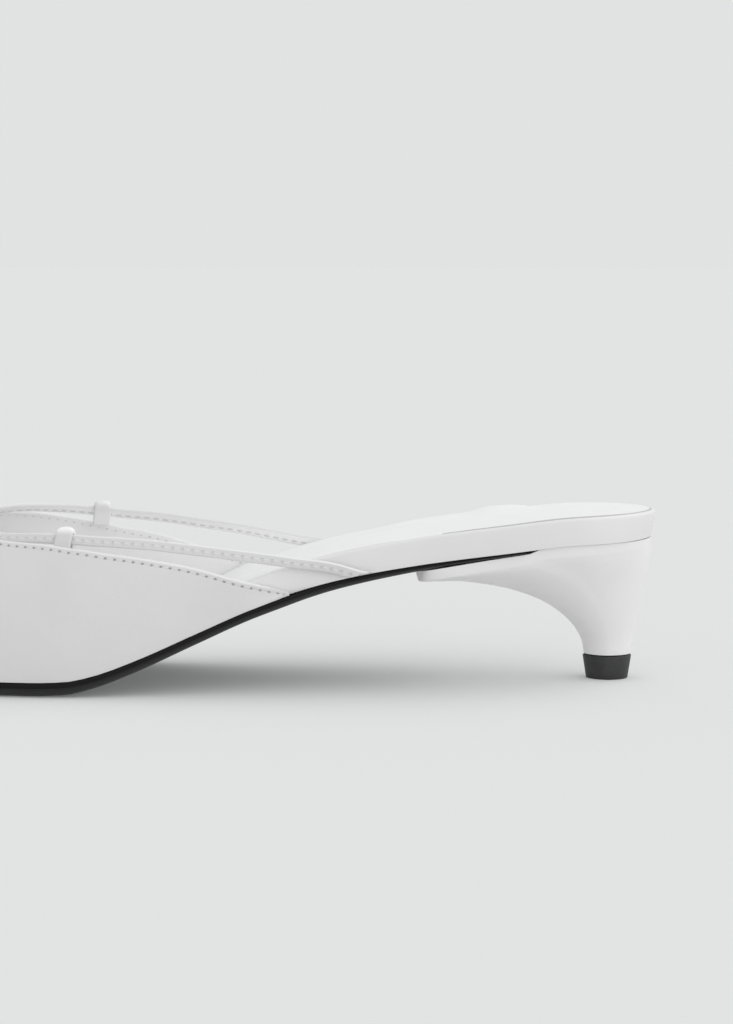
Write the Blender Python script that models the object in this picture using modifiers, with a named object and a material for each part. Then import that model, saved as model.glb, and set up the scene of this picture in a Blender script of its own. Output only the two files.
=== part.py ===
"""Kitten heel mule for the left foot, built piece by piece as it is put together.

A padded footbed, an outsole and a low covered heel carry a pointed vamp and a narrow strap that runs round
the throat through two keepers. Metres, +Z up. The toe points to -X, the heel to +X and the outer (lateral)
side of the foot to -Y. The tread and the heel tip stand on z = 0.
"""

import math
from collections import namedtuple

import bmesh
import bpy
from mathutils import Vector

# Overall sizes of the shoe
LENGTH = 0.270
BALL_WIDTH = 0.0745
HEEL_HEIGHT = 0.0433
TREAD_START = 0.182
TREAD_LENGTH = 0.034
TOE_SPRING = 0.006
SEAT_ROUND = 0.026
TOE_TAPER = 0.097
TOE_TAPER_POWER = 1.7
TOE_POINT_POWER = 0.72
TOE_SWING = 0.003
HEEL_Y = 0.00095
TOE_SPRING_POWER = 1.8
GAP = 0.0003

# Vamp, measured on the last that it is pulled over
VAMP_WALL = 0.0013
INSTEP_HEIGHT = 0.066
THROAT_REACH = 0.218
WING_REACH = 0.1096
TOE_HEIGHT = 0.0055
TOE_NOSE = 0.014
LAST_FULLNESS = 0.05

# Footbed, sock and outsole
FOOTBED_THICKNESS = 0.0081
FOREPART_THICKNESS = 0.0040
FOOTBED_EDGE = 0.0010
FOREPART_START = 0.0134
FOREPART_SKIVE = 0.035
SOCK_THICKNESS = 0.0006
SOCK_INSET = 0.0016
OUTSOLE_THICKNESS = 0.0044
OUTSOLE_PROUD = 0.0003
OUTSOLE_BEVEL = 0.0032
OUTSOLE_END = 0.0405
OUTSOLE_FLARE_START = 0.097
OUTSOLE_FLARE_LENGTH = 0.016

# Heel and its top piece
HEEL_REACH = 0.0717
HEEL_SETBACK = 0.0012
HEEL_HALF_WIDTH = 0.0258
HEEL_STEP_BEHIND_SOLE = 0.0045
HEEL_STEP_LENGTH = 0.003
TIP_SETBACK = 0.0072
TIP_LENGTH = 0.0140
TIP_WIDTH = 0.0130
TIP_REAR_SHARE = 0.52
TOP_PIECE_HEIGHT = 0.0072
TOP_PIECE_TAPER = 0.0007
TOP_PIECE_PROUD = 0.0003
TOP_PIECE_EDGE = 0.0004

# Strap and the keepers that hold it
STRAP_WIDTH = 0.0032
STRAP_THICKNESS = 0.0014
STRAP_ANCHOR = 0.0845
STRAP_BEHIND_THROAT = 0.0014
KEEPER_LATERAL_BEHIND_THROAT = 0.0435
KEEPER_MEDIAL_BEHIND_THROAT = 0.0498
KEEPER_WIDTH = 0.0050
KEEPER_THICKNESS = 0.0008
KEEPER_ROOM = 0.0014
KEEPER_TAIL = 0.0035
KEEPER_INNER_TAIL = 0.0014
KEEPER_LEAN = 0.0011

# Half widths of the footbed as shares of the ball width, along the length from the heel
Outline = namedtuple("Outline", "along lateral medial")
OUTLINE = (
    Outline(0.00, 0.350, 0.350),
    Outline(0.15, 0.364, 0.364),
    Outline(0.26, 0.354, 0.350),
    Outline(0.37, 0.366, 0.346),
    Outline(0.47, 0.420, 0.388),
    Outline(0.57, 0.482, 0.450),
    Outline(0.65, 0.512, 0.488),
    Outline(0.73, 0.508, 0.496),
    Outline(1.00, 0.505, 0.500),
)

# Height of the footbed's underside over the tread, as a share of the heel's lift, from the heel to the tread
Arch = namedtuple("Arch", "along lift")
ARCH = (
    Arch(0.000, 1.000),
    Arch(0.135, 0.980),
    Arch(0.264, 0.913),
    Arch(0.395, 0.832),
    Arch(0.524, 0.722),
    Arch(0.653, 0.538),
    Arch(0.749, 0.352),
    Arch(0.846, 0.158),
    Arch(0.909, 0.054),
    Arch(0.955, 0.009),
    Arch(1.000, 0.000),
)

# Thickness of the outsole as a share of its full thickness, from the heel to the tread
Substance = namedtuple("Substance", "along share")
OUTSOLE_SUBSTANCE = (
    Substance(0.00, 0.150),
    Substance(0.21, 0.165),
    Substance(0.36, 0.370),
    Substance(0.49, 0.580),
    Substance(0.56, 0.690),
    Substance(0.70, 0.790),
    Substance(0.85, 0.900),
    Substance(1.00, 1.000),
)

# Height of the last over the footbed's underside as a share of the instep height, along the length
Instep = namedtuple("Instep", "along height")
INSTEP = (
    Instep(0.30, 0.870),
    Instep(0.45, 0.935),
    Instep(0.56, 1.000),
    Instep(0.62, 0.975),
    Instep(0.72, 0.795),
    Instep(0.81, 0.640),
    Instep(0.87, 0.510),
    Instep(0.94, 0.340),
    Instep(1.00, 0.190),
)

# Rise of the vamp's edge as a share of the last's height, from the end of the wing to the throat
Topline = namedtuple("Topline", "along lateral medial")
TOPLINE = (
    Topline(0.00, 0.018, 0.018),
    Topline(0.12, 0.140, 0.136),
    Topline(0.24, 0.278, 0.268),
    Topline(0.38, 0.415, 0.427),
    Topline(0.52, 0.541, 0.569),
    Topline(0.64, 0.640, 0.692),
    Topline(0.78, 0.752, 0.838),
    Topline(1.00, 1.000, 1.000),
)

# Path of the strap from its end at the sole to the throat: rise as a share of the last's height, how far it
# has moved from the outside of the footbed to the inside of the vamp, and its lean in degrees over the last's
Strap = namedtuple("Strap", "along lateral medial tuck lean")
STRAP = (
    Strap(0.000, -0.022, -0.022, 0.00, 0),
    Strap(0.038, 0.010, 0.012, 0.00, 0),
    Strap(0.082, 0.060, 0.070, 0.00, 2),
    Strap(0.124, 0.100, 0.115, 0.00, 4),
    Strap(0.172, 0.142, 0.160, 0.02, 6),
    Strap(0.220, 0.190, 0.212, 0.10, 9),
    Strap(0.305, 0.277, 0.309, 0.35, 14),
    Strap(0.396, 0.373, 0.409, 0.65, 16),
    Strap(0.501, 0.484, 0.527, 0.90, 14),
    Strap(0.616, 0.600, 0.655, 1.00, 10),
    Strap(0.721, 0.697, 0.776, 1.00, 6),
    Strap(0.826, 0.786, 0.896, 0.85, 3),
    Strap(0.915, 0.870, 0.952, 0.72, 0),
    Strap(0.965, 0.945, 0.981, 0.68, 0),
    Strap(1.000, 1.000, 1.000, 0.65, 0),
)

# Corners of the strap's section as shares of its half thickness and half width
STRAP_SECTION = ((-1, -0.55), (-1, 0.55), (-0.62, 1), (0.62, 1), (1, 0.55), (1, -0.55), (0.62, -1), (-0.62, -1))

# Sections of the heel from the tip to the seat: places of its back and front as shares of the way from the
# tip's to the seat's, their heights as shares of the rise to the seat, the half width as a share of the way
# from the tip's to the seat's, and the fullness of the front
HeelSection = namedtuple("HeelSection", "back back_height front front_height width fullness")
HEEL_SECTIONS = (
    HeelSection(0.00, 0.000, 0.000, 0.000, 0.000, 1.7),
    HeelSection(0.13, 0.110, 0.010, 0.125, 0.035, 1.7),
    HeelSection(0.28, 0.240, 0.050, 0.275, 0.110, 1.8),
    HeelSection(0.42, 0.380, 0.130, 0.437, 0.215, 1.9),
    HeelSection(0.58, 0.510, 0.245, 0.580, 0.345, 2.0),
    HeelSection(0.72, 0.630, 0.375, 0.682, 0.490, 2.1),
    HeelSection(0.82, 0.720, 0.500, 0.750, 0.630, 2.3),
    HeelSection(0.89, 0.790, 0.640, 0.801, 0.755, 2.6),
    HeelSection(0.94, 0.845, 0.790, 0.842, 0.860, 3.2),
    HeelSection(0.97, 0.890, 0.940, 0.861, 0.940, 5.0),
    HeelSection(0.98, 0.920, 1.000, 0.878, 0.975, 9.0),
    HeelSection(1.00, 1.000, 1.000, 1.000, 1.000, 12.0),
)

LATERAL, MEDIAL = -1, 1
SIDES = (LATERAL, MEDIAL)
LAST_LENGTH = LENGTH - GAP - VAMP_WALL - OUTSOLE_PROUD
BACK_X = LENGTH / 2
OUTLINE_STATIONS = 40
WING_STATIONS = 20
TOE_STATIONS = 13
VAMP_COLUMNS = 9
HEEL_STATIONS = 20
HEEL_LEVELS = 22
STRAP_STATIONS = 84

# Colours of the finishes
Finish = namedtuple("Finish", "color roughness")
WHITE_LEATHER = Finish((0.80, 0.81, 0.80), 0.38)
WHITE_LINING = Finish((0.84, 0.85, 0.84), 0.50)
BLACK_SOLE = Finish((0.012, 0.012, 0.013), 0.28)
BLACK_RUBBER = Finish((0.018, 0.018, 0.018), 0.50)


def through(table, column, at):
    """Value at a station of a smooth curve through one column of a table, which never overshoots its rows."""
    places = [row[0] for row in table]
    values = [getattr(row, column) for row in table]
    at = min(max(at, places[0]), places[-1])
    steps = [b - a for a, b in zip(places, places[1:])]
    slopes = [(b - a) / step for a, b, step in zip(values, values[1:], steps)]
    tangents = [slopes[0]]
    for before, after in zip(slopes, slopes[1:]):
        tangents.append(2 * before * after / (before + after) if before * after > 0 else 0.0)
    tangents.append(slopes[-1])
    row = max(i for i in range(len(steps)) if places[i] <= at)
    step = steps[row]
    t = (at - places[row]) / step
    return (
        values[row] * (1 + 2 * t) * (1 - t) ** 2
        + tangents[row] * step * t * (1 - t) ** 2
        + values[row + 1] * t * t * (3 - 2 * t)
        - tangents[row + 1] * step * t * t * (1 - t)
    )


def column(side):
    """Name of a table's column for one side of the foot."""
    return "medial" if side == MEDIAL else "lateral"


def eased(value):
    """Smooth step from 0 to 1."""
    value = min(max(value, 0.0), 1.0)
    return value * value * (3 - 2 * value)


def blend(a, b, share):
    """Value that share of the way from a to b."""
    return a + (b - a) * share


def half_width(reach, side):
    """Half width of the footbed at a reach from the heel's back, closed by round ends."""
    share = through(OUTLINE, column(side), reach / LAST_LENGTH)
    back = min(reach / SEAT_ROUND, 1.0)
    front = max((reach - LAST_LENGTH + TOE_TAPER) / TOE_TAPER, 0.0)
    seat = math.sqrt(max(1 - (1 - back) ** 2, 0.0))
    toe = max(1 - front**TOE_TAPER_POWER, 0.0) ** TOE_POINT_POWER
    return BALL_WIDTH * share * seat * toe


def centre_line(reach):
    """Sideways place of the last's middle: the toe swings to the medial side of the heel."""
    return HEEL_Y + MEDIAL * TOE_SWING * eased((reach - TREAD_START) / (LAST_LENGTH - TREAD_START))


def feather(reach):
    """Height of the footbed's underside: seat, arch, tread and toe spring."""
    lift = HEEL_HEIGHT - OUTSOLE_THICKNESS
    spring = max((reach - TREAD_START - TREAD_LENGTH) / (LAST_LENGTH - TREAD_START - TREAD_LENGTH), 0.0)
    return OUTSOLE_THICKNESS + lift * through(ARCH, "lift", reach / TREAD_START) + TOE_SPRING * spring**TOE_SPRING_POWER


def sole_substance(reach):
    """Depth from the footbed's underside to the bottom of the outsole."""
    return OUTSOLE_THICKNESS * through(OUTSOLE_SUBSTANCE, "share", reach / TREAD_START)


def footbed_thickness(reach):
    """Thickness of the footbed: full to the waist, thin under the vamp."""
    share = eased((reach - WING_REACH - FOREPART_START) / FOREPART_SKIVE)
    return blend(FOOTBED_THICKNESS, FOREPART_THICKNESS, share)


def outline_point(reach, side, offset, height):
    """Point of the footbed's outline at a height, moved out square to the outline by offset."""
    width = half_width(reach, side)
    step = 1e-6
    low, high = max(reach - step, 0.0), min(reach + step, LAST_LENGTH)
    slope = (half_width(high, side) - half_width(low, side)) / (high - low)
    swing = (centre_line(high) - centre_line(low)) / (high - low)
    out = Vector((slope + side * swing, side)).normalized()
    if reach in (0.0, LAST_LENGTH):
        out = Vector((1.0 if reach == 0.0 else -1.0, 0.0))
    place = Vector((BACK_X - reach, centre_line(reach) + side * width)) + out * offset
    return Vector((place.x, place.y, height))


def last_height(reach):
    """Height of the last over the footbed's underside, with a blunt round nose."""
    full = INSTEP_HEIGHT * through(INSTEP, "height", reach / LAST_LENGTH)
    ahead = min((LAST_LENGTH - reach) / TOE_NOSE, 1.0)
    return TOE_HEIGHT + (full - TOE_HEIGHT) * math.sqrt(max(1 - (1 - ahead) ** 2, 0.0))


def last_point(reach, side, angle):
    """Point of the last's skin: angle 0 is at the feather edge and 90 degrees on the ridge."""
    fullness = math.cos(angle) * (1 + LAST_FULLNESS * math.sin(2 * angle))
    return Vector((
        BACK_X - reach,
        centre_line(reach) + side * half_width(reach, side) * fullness,
        feather(reach) + last_height(reach) * math.sin(angle),
    ))


def last_normal(reach, side, angle):
    """Outward normal of the last's skin."""
    if reach >= LAST_LENGTH:
        return Vector((-1.0, 0.0, 0.0))
    step = 1e-5
    along = last_point(min(reach + step, LAST_LENGTH), side, angle) - last_point(reach - step, side, angle)
    up = last_point(reach, side, angle + step) - last_point(reach, side, angle - step)
    return (along.cross(up) * side).normalized()


def topline_angle(reach, side):
    """Angle on the last at which the vamp ends."""
    along = (reach - WING_REACH) / (THROAT_REACH - WING_REACH)
    return math.asin(min(through(TOPLINE, column(side), along), 1.0))


def round_spacing(start, end, count):
    """Reaches from start to end, close together at both ends."""
    return [start + (end - start) * (1 - math.cos(math.pi * i / count)) / 2 for i in range(count + 1)]


def finish(name, look):
    """Plain material of one piece."""
    material = bpy.data.materials.new(name)
    material.use_nodes = True
    shader = material.node_tree.nodes["Principled BSDF"]
    shader.inputs["Base Color"].default_value = (*look.color, 1.0)
    shader.inputs["Roughness"].default_value = look.roughness
    shader.inputs["Metallic"].default_value = 0.0
    material.diffuse_color = (*look.color, 1.0)
    return material


def add_piece(name, bm, look, collection, sharp_degrees=40):
    """Turn a bmesh into a named object with its own material, shaded smooth, its faces looking out."""
    bmesh.ops.remove_doubles(bm, verts=bm.verts, dist=1e-6)
    bmesh.ops.recalc_face_normals(bm, faces=bm.faces)
    highest = max(bm.faces, key=lambda face: face.calc_center_median().z)
    if highest.normal.z < -0.1:
        bmesh.ops.reverse_faces(bm, faces=bm.faces)
    mesh = bpy.data.meshes.new(name)
    bm.to_mesh(mesh)
    bm.free()
    mesh.materials.append(finish(name, look))
    mesh.shade_smooth()
    mesh.set_sharp_from_angle(angle=math.radians(sharp_degrees))
    piece = bpy.data.objects.new(name, mesh)
    collection.objects.link(piece)
    return piece


def add_grid(bm, rows, closed=False):
    """Quads between neighbouring rows of points, each row closed on itself if asked."""
    made = [[bm.verts.new(point) for point in row] for row in rows]
    for low, high in zip(made, made[1:]):
        count = len(low)
        for i in range(count if closed else count - 1):
            j = (i + 1) % count
            bm.faces.new((low[i], low[j], high[j], high[i]))
    return made


def add_ladder(bm, ring):
    """Close a ring of lateral points followed by medial points with rungs straight across."""
    half = len(ring) // 2
    for i in range(half - 1):
        bm.faces.new((ring[i], ring[i + 1], ring[-2 - i], ring[-1 - i]))


def ladder_loft(rings):
    """Closed solid through rings that run out along the lateral side and back along the medial side."""
    bm = bmesh.new()
    made = add_grid(bm, rings, closed=True)
    add_ladder(bm, made[0])
    add_ladder(bm, made[-1])
    return bm


def outline_ring(reaches, offset, height):
    """Ring round the outline, with an offset and a height that follow the reach."""
    lateral = [outline_point(reach, LATERAL, offset(reach), height(reach)) for reach in reaches]
    medial = [outline_point(reach, MEDIAL, offset(reach), height(reach)) for reach in reaches]
    return lateral + medial[::-1]


def build_footbed(collection):
    """Padded board with straight sides and a softly rounded rim."""
    reaches = round_spacing(0.0, LAST_LENGTH, OUTLINE_STATIONS)
    levels = (
        (-0.6 * FOOTBED_EDGE, lambda reach: feather(reach)),
        (0.0, lambda reach: feather(reach) + 0.6 * FOOTBED_EDGE),
        (0.0, lambda reach: feather(reach) + footbed_thickness(reach) - FOOTBED_EDGE),
        (-0.3 * FOOTBED_EDGE, lambda reach: feather(reach) + footbed_thickness(reach) - 0.3 * FOOTBED_EDGE),
        (-FOOTBED_EDGE, lambda reach: feather(reach) + footbed_thickness(reach)),
    )
    rings = [outline_ring(reaches, lambda reach, out=out: out, height) for out, height in levels]
    return add_piece("footbed", ladder_loft(rings), WHITE_LEATHER, collection)


def build_sock(collection):
    """Thin lining sheet on the footbed, inset from its rim."""
    reaches = round_spacing(0.0, LAST_LENGTH, OUTLINE_STATIONS)
    seat = lambda reach: feather(reach) + footbed_thickness(reach) + GAP
    levels = (
        (-SOCK_INSET, seat),
        (-SOCK_INSET, lambda reach: seat(reach) + 0.6 * SOCK_THICKNESS),
        (-SOCK_INSET - 0.4 * SOCK_THICKNESS, lambda reach: seat(reach) + SOCK_THICKNESS),
    )
    rings = [outline_ring(reaches, lambda reach, out=out: out, height) for out, height in levels]
    return add_piece("insole_sock", ladder_loft(rings), WHITE_LINING, collection)


def outsole_offset(reach):
    """Outsole edge: flush with the footbed behind, and out under the vamp's wall in front."""
    under_vamp = GAP + VAMP_WALL + OUTSOLE_PROUD
    return blend(-GAP, under_vamp, eased((reach - OUTSOLE_FLARE_START) / OUTSOLE_FLARE_LENGTH))


def build_outsole(collection):
    """Sole with a straight edge, a bevelled underside and a flat tread, skived thin under the seat."""
    reaches = round_spacing(OUTSOLE_END, LAST_LENGTH, OUTLINE_STATIONS)
    bevel = lambda reach: OUTSOLE_BEVEL * sole_substance(reach) / OUTSOLE_THICKNESS
    top = lambda reach: feather(reach) - GAP
    bottom = lambda reach: feather(reach) - sole_substance(reach)
    levels = (
        (lambda reach: outsole_offset(reach) - bevel(reach), bottom),
        (lambda reach: outsole_offset(reach) - 0.35 * bevel(reach),
         lambda reach: blend(bottom(reach), top(reach), 0.22)),
        (outsole_offset, lambda reach: blend(bottom(reach), top(reach), 0.55)),
        (outsole_offset, top),
    )
    rings = [outline_ring(reaches, offset, height) for offset, height in levels]
    return add_piece("outsole", ladder_loft(rings), BLACK_SOLE, collection, 30)


def build_vamp(collection):
    """Upper pulled over the last: two wings that join round the throat and close over the toe."""
    wings = [blend(WING_REACH, THROAT_REACH, 1 - (1 - i / WING_STATIONS) ** 1.8) for i in range(WING_STATIONS)]
    toe = [blend(THROAT_REACH, LAST_LENGTH, math.sin(math.pi / 2 * i / TOE_STATIONS))
           for i in range(TOE_STATIONS + 1)]
    bm = bmesh.new()
    for side in SIDES:
        rows = []
        for reach in wings + toe:
            top = topline_angle(reach, side)
            angles = [top * i / VAMP_COLUMNS for i in range(VAMP_COLUMNS + 1)]
            rows.append([last_point(reach, side, angle) + last_normal(reach, side, angle) * GAP
                         for angle in angles])
        add_grid(bm, rows)
    piece = add_piece("vamp", bm, WHITE_LEATHER, collection)
    wall = piece.modifiers.new("Wall", "SOLIDIFY")
    wall.thickness = VAMP_WALL
    wall.offset = 1.0
    wall.use_even_offset = True
    wall.use_quality_normals = True
    return piece


def strap_place(row, side):
    """Middle of the strap at one row of its table, and the way that its outer face looks."""
    reach = blend(STRAP_ANCHOR, THROAT_REACH - STRAP_BEHIND_THROAT, row.along)
    rise = getattr(row, column(side))
    angle = math.asin(min(max(rise, 0.0), 1.0))
    normal = last_normal(reach, side, angle)
    outside = 2 * GAP + STRAP_THICKNESS / 2
    inside = -(GAP + KEEPER_THICKNESS + STRAP_THICKNESS / 2)
    point = last_point(reach, side, angle) + normal * blend(outside, inside, row.tuck)
    if rise < 0:
        point.z += rise * last_height(reach)
    lean = math.radians(row.lean)
    return point, (normal + Vector((0.0, 0.0, math.tan(lean)))).normalized()


def spline(points, at):
    """Point of a smooth curve through a list of points; at counts points from the first."""
    i = min(max(int(at), 0), len(points) - 2)
    t = at - i
    a, b = points[i], points[i + 1]
    before = points[i - 1] if i else a * 2 - b
    after = points[i + 2] if i + 2 < len(points) else b * 2 - a
    return (
        b * (0.5 * (t + 4 * t * t - 3 * t**3))
        + a * (0.5 * (2 - 5 * t * t + 3 * t**3))
        + before * (0.5 * (-t + 2 * t * t - t**3))
        + after * (0.5 * (t**3 - t * t))
    )


def strap_line():
    """Middles and outward directions of the strap at its table's rows, from the lateral end to the medial."""
    places = [strap_place(row, LATERAL) for row in STRAP]
    places += [strap_place(row, MEDIAL) for row in STRAP[-2::-1]]
    return [point for point, _ in places], [normal for _, normal in places]


def strap_frame(points, normals, at):
    """Middle, travel, outward and upward directions of the strap at a place along it."""
    middle = spline(points, at)
    travel = (spline(points, at + 0.01) - spline(points, at - 0.01)).normalized()
    out = spline(normals, at)
    out = (out - travel * out.dot(travel)).normalized()
    up = travel.cross(out)
    return middle, travel, out, up if up.z > 0 or abs(up.z) < abs(up.x) and up.x > 0 else -up


def build_strap(collection):
    """One strap from the lateral sole edge round the throat to the medial sole edge."""
    points, normals = strap_line()
    rows = []
    last = len(points) - 1
    for i in range(STRAP_STATIONS + 1):
        middle, _, out, up = strap_frame(points, normals, last * i / STRAP_STATIONS)
        row = []
        for thick, wide in STRAP_SECTION:
            corner = middle + out * (thick * STRAP_THICKNESS / 2) + up * (wide * STRAP_WIDTH / 2)
            floor = feather(BACK_X - corner.x) + GAP * (1 if wide < 0 else 1.8 + wide)
            beside = corner.y - centre_line(BACK_X - corner.x)
            if abs(beside) > half_width(BACK_X - corner.x, MEDIAL if beside > 0 else LATERAL) - GAP:
                corner.z = max(corner.z, floor)
            row.append(corner)
        rows.append(row)
    bm = bmesh.new()
    made = add_grid(bm, rows, closed=True)
    bm.faces.new(made[0])
    bm.faces.new(made[-1])
    return add_piece("strap", bm, WHITE_LEATHER, collection)


def build_keeper(name, side, behind_throat, collection):
    """Loop of leather over the strap, both ends tucked down inside the vamp."""
    points, normals = strap_line()
    last = len(points) - 1
    count = 400
    places = [last / 2 * i / count if side == LATERAL else last - last / 2 * i / count for i in range(count)]
    reach = THROAT_REACH - behind_throat
    at = min(places, key=lambda place: abs(BACK_X - spline(points, place).x - reach))
    middle, travel, out, up = strap_frame(points, normals, at)
    half_out = STRAP_THICKNESS / 2 + GAP
    half_up = STRAP_WIDTH / 2 + GAP
    crown = [(half_out * math.cos(math.pi * i / 8), half_up + KEEPER_ROOM * math.sin(math.pi * i / 8))
             for i in range(9)]
    tail = -half_up - KEEPER_THICKNESS - KEEPER_TAIL
    inner_tail = -half_up - KEEPER_THICKNESS - KEEPER_INNER_TAIL
    route = [(half_out - KEEPER_LEAN, tail), (half_out, -half_up)] + crown
    route += [(-half_out, -half_up), (-half_out, inner_tail)]
    bm = bmesh.new()
    rows = [[middle + out * o + up * u + travel * (KEEPER_WIDTH / 2 * end) for o, u in route] for end in (-1, 1)]
    add_grid(bm, rows)
    piece = add_piece(name, bm, WHITE_LEATHER, collection, 60)
    wall = piece.modifiers.new("Wall", "SOLIDIFY")
    wall.thickness = KEEPER_THICKNESS
    wall.offset = 1.0
    wall.use_even_offset = True
    return piece


def heel_seat(reach):
    """Height of the heel's top, which carries the outsole in front and the footbed behind it."""
    sole = eased((reach - OUTSOLE_END + HEEL_STEP_BEHIND_SOLE) / HEEL_STEP_LENGTH)
    return feather(reach) - GAP - sole * sole_substance(reach)


def heel_outline(share, width, rear, fullness):
    """Half width of one heel section at a share of its length: a round back and a front of given fullness."""
    back = min(share / rear, 1.0)
    front = max((share - rear) / (1 - rear), 0.0)
    return width * math.sqrt(max(1 - (1 - back) ** 2, 0.0)) * max(1 - front**fullness, 0.0) ** (1 / fullness)


def heel_ring(level):
    """Section of the heel at a level from 0 at the tip to 1 at the seat."""
    at = level * (len(HEEL_SECTIONS) - 1)
    numbered = [(i, *row) for i, row in enumerate(HEEL_SECTIONS)]
    table = [namedtuple("Numbered", ("level",) + HeelSection._fields)(*row) for row in numbered]
    read = {field: through(table, field, at) for field in HeelSection._fields}
    tip_height = TOP_PIECE_HEIGHT + GAP
    back = blend(TIP_SETBACK, HEEL_SETBACK, read["back"])
    front = blend(TIP_SETBACK + TIP_LENGTH, HEEL_REACH, read["front"])
    back_height = blend(tip_height, heel_seat(HEEL_SETBACK), read["back_height"])
    front_height = blend(tip_height, heel_seat(HEEL_REACH), read["front_height"])
    width = blend(TIP_WIDTH / 2, HEEL_HALF_WIDTH, read["width"])
    rear = blend(TIP_REAR_SHARE, SEAT_ROUND / HEEL_REACH, level)
    fall = heel_seat(HEEL_SETBACK) - heel_seat(HEEL_REACH)
    sides = {LATERAL: [], MEDIAL: []}
    for i in range(HEEL_STATIONS + 1):
        share = (1 - math.cos(math.pi * i / HEEL_STATIONS)) / 2
        reach = blend(back, front, share)
        seat_reach = blend(HEEL_SETBACK, HEEL_REACH, share)
        drop = (heel_seat(HEEL_SETBACK) - heel_seat(seat_reach)) / fall
        height = back_height + (front_height - back_height) * drop
        half = heel_outline(share, width, rear, read["fullness"])
        for side in SIDES:
            sides[side].append(Vector((BACK_X - reach, HEEL_Y + side * half, height)))
    return sides[LATERAL] + sides[MEDIAL][::-1]


def build_heel(collection):
    """Covered heel: a round back, a long front under the waist and a rounded breast between them."""
    rings = [heel_ring(i / HEEL_LEVELS) for i in range(HEEL_LEVELS + 1)]
    return add_piece("heel", ladder_loft(rings), WHITE_LEATHER, collection)


def build_top_piece(collection):
    """Rubber tip under the heel, slightly wider than the heel's end and tapered to the floor."""
    levels = (
        (0.0, -TOP_PIECE_TAPER - TOP_PIECE_EDGE),
        (TOP_PIECE_EDGE, -TOP_PIECE_TAPER),
        (TOP_PIECE_HEIGHT - TOP_PIECE_EDGE, TOP_PIECE_PROUD),
        (TOP_PIECE_HEIGHT, TOP_PIECE_PROUD - TOP_PIECE_EDGE),
    )
    rings = []
    for height, grow in levels:
        length = TIP_LENGTH + 2 * grow
        width = TIP_WIDTH / 2 + grow
        sides = {LATERAL: [], MEDIAL: []}
        for i in range(HEEL_STATIONS + 1):
            share = (1 - math.cos(math.pi * i / HEEL_STATIONS)) / 2
            half = heel_outline(share, width, TIP_REAR_SHARE, HEEL_SECTIONS[0].fullness)
            for side in SIDES:
                place = Vector((BACK_X - TIP_SETBACK + grow - length * share, HEEL_Y + side * half, height))
                sides[side].append(place)
        rings.append(sides[LATERAL] + sides[MEDIAL][::-1])
    return add_piece("top_piece", ladder_loft(rings), BLACK_RUBBER, collection)


def main():
    """Clear the scene and build the shoe's pieces in the order that they are put together."""
    for piece in list(bpy.data.objects):
        bpy.data.objects.remove(piece)
    collection = bpy.data.collections.new("kitten_heel_shoe")
    bpy.context.scene.collection.children.link(collection)
    build_footbed(collection)
    build_sock(collection)
    build_vamp(collection)
    build_strap(collection)
    build_keeper("keeper_lateral", LATERAL, KEEPER_LATERAL_BEHIND_THROAT, collection)
    build_keeper("keeper_medial", MEDIAL, KEEPER_MEDIAL_BEHIND_THROAT, collection)
    build_outsole(collection)
    build_heel(collection)
    build_top_piece(collection)


main()
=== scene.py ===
"""Looks of a left kitten heel mule: white leather upper, strap and heel cover, black sole and heel tip.

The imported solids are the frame. Every visible piece is modelled here again at a finer grain on the same last,
with its folded edges, stitches and finishes, and stands for its solid. Metres, +Z up, the toe to -X.
"""

import logging
import math
from collections.abc import Callable, Sequence
from dataclasses import dataclass, field
from enum import Enum
from functools import cached_property, partial
from typing import Any, NamedTuple

import bmesh
import bpy
from mathutils import Matrix, Vector


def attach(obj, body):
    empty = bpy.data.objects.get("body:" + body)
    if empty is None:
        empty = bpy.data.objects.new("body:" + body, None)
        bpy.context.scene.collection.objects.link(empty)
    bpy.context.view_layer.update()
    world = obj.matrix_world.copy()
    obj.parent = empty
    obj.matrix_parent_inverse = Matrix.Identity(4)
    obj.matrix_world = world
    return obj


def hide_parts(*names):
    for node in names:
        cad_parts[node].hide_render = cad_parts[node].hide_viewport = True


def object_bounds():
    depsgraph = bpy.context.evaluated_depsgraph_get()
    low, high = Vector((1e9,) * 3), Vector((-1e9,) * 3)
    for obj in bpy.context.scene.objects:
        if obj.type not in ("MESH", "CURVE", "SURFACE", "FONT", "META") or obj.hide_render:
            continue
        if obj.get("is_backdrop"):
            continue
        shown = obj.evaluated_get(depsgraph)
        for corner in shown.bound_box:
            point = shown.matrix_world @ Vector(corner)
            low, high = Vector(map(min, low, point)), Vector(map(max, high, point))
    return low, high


LOG = logging.getLogger("mule")
GAP = 0.0003
SEAM = "seam"
FAR = 0.02
LINED = 3

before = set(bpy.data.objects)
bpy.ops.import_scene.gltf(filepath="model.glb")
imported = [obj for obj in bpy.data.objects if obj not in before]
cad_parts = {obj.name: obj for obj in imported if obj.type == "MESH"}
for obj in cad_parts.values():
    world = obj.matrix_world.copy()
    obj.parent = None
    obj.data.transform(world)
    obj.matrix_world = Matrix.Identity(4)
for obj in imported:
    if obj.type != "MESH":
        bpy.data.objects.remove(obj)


class Side(Enum):
    """Sides of the foot, with the sign of their Y."""

    LATERAL = -1
    MEDIAL = 1


class Row(NamedTuple):
    """One row of a shape table: a place and the values on the two sides.

    Args:
        place: Place that the row stands at.
        lateral: Value on the outer side of the foot.
        medial: Value on the inner side of the foot.
    """

    place: float
    lateral: float
    medial: float


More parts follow.
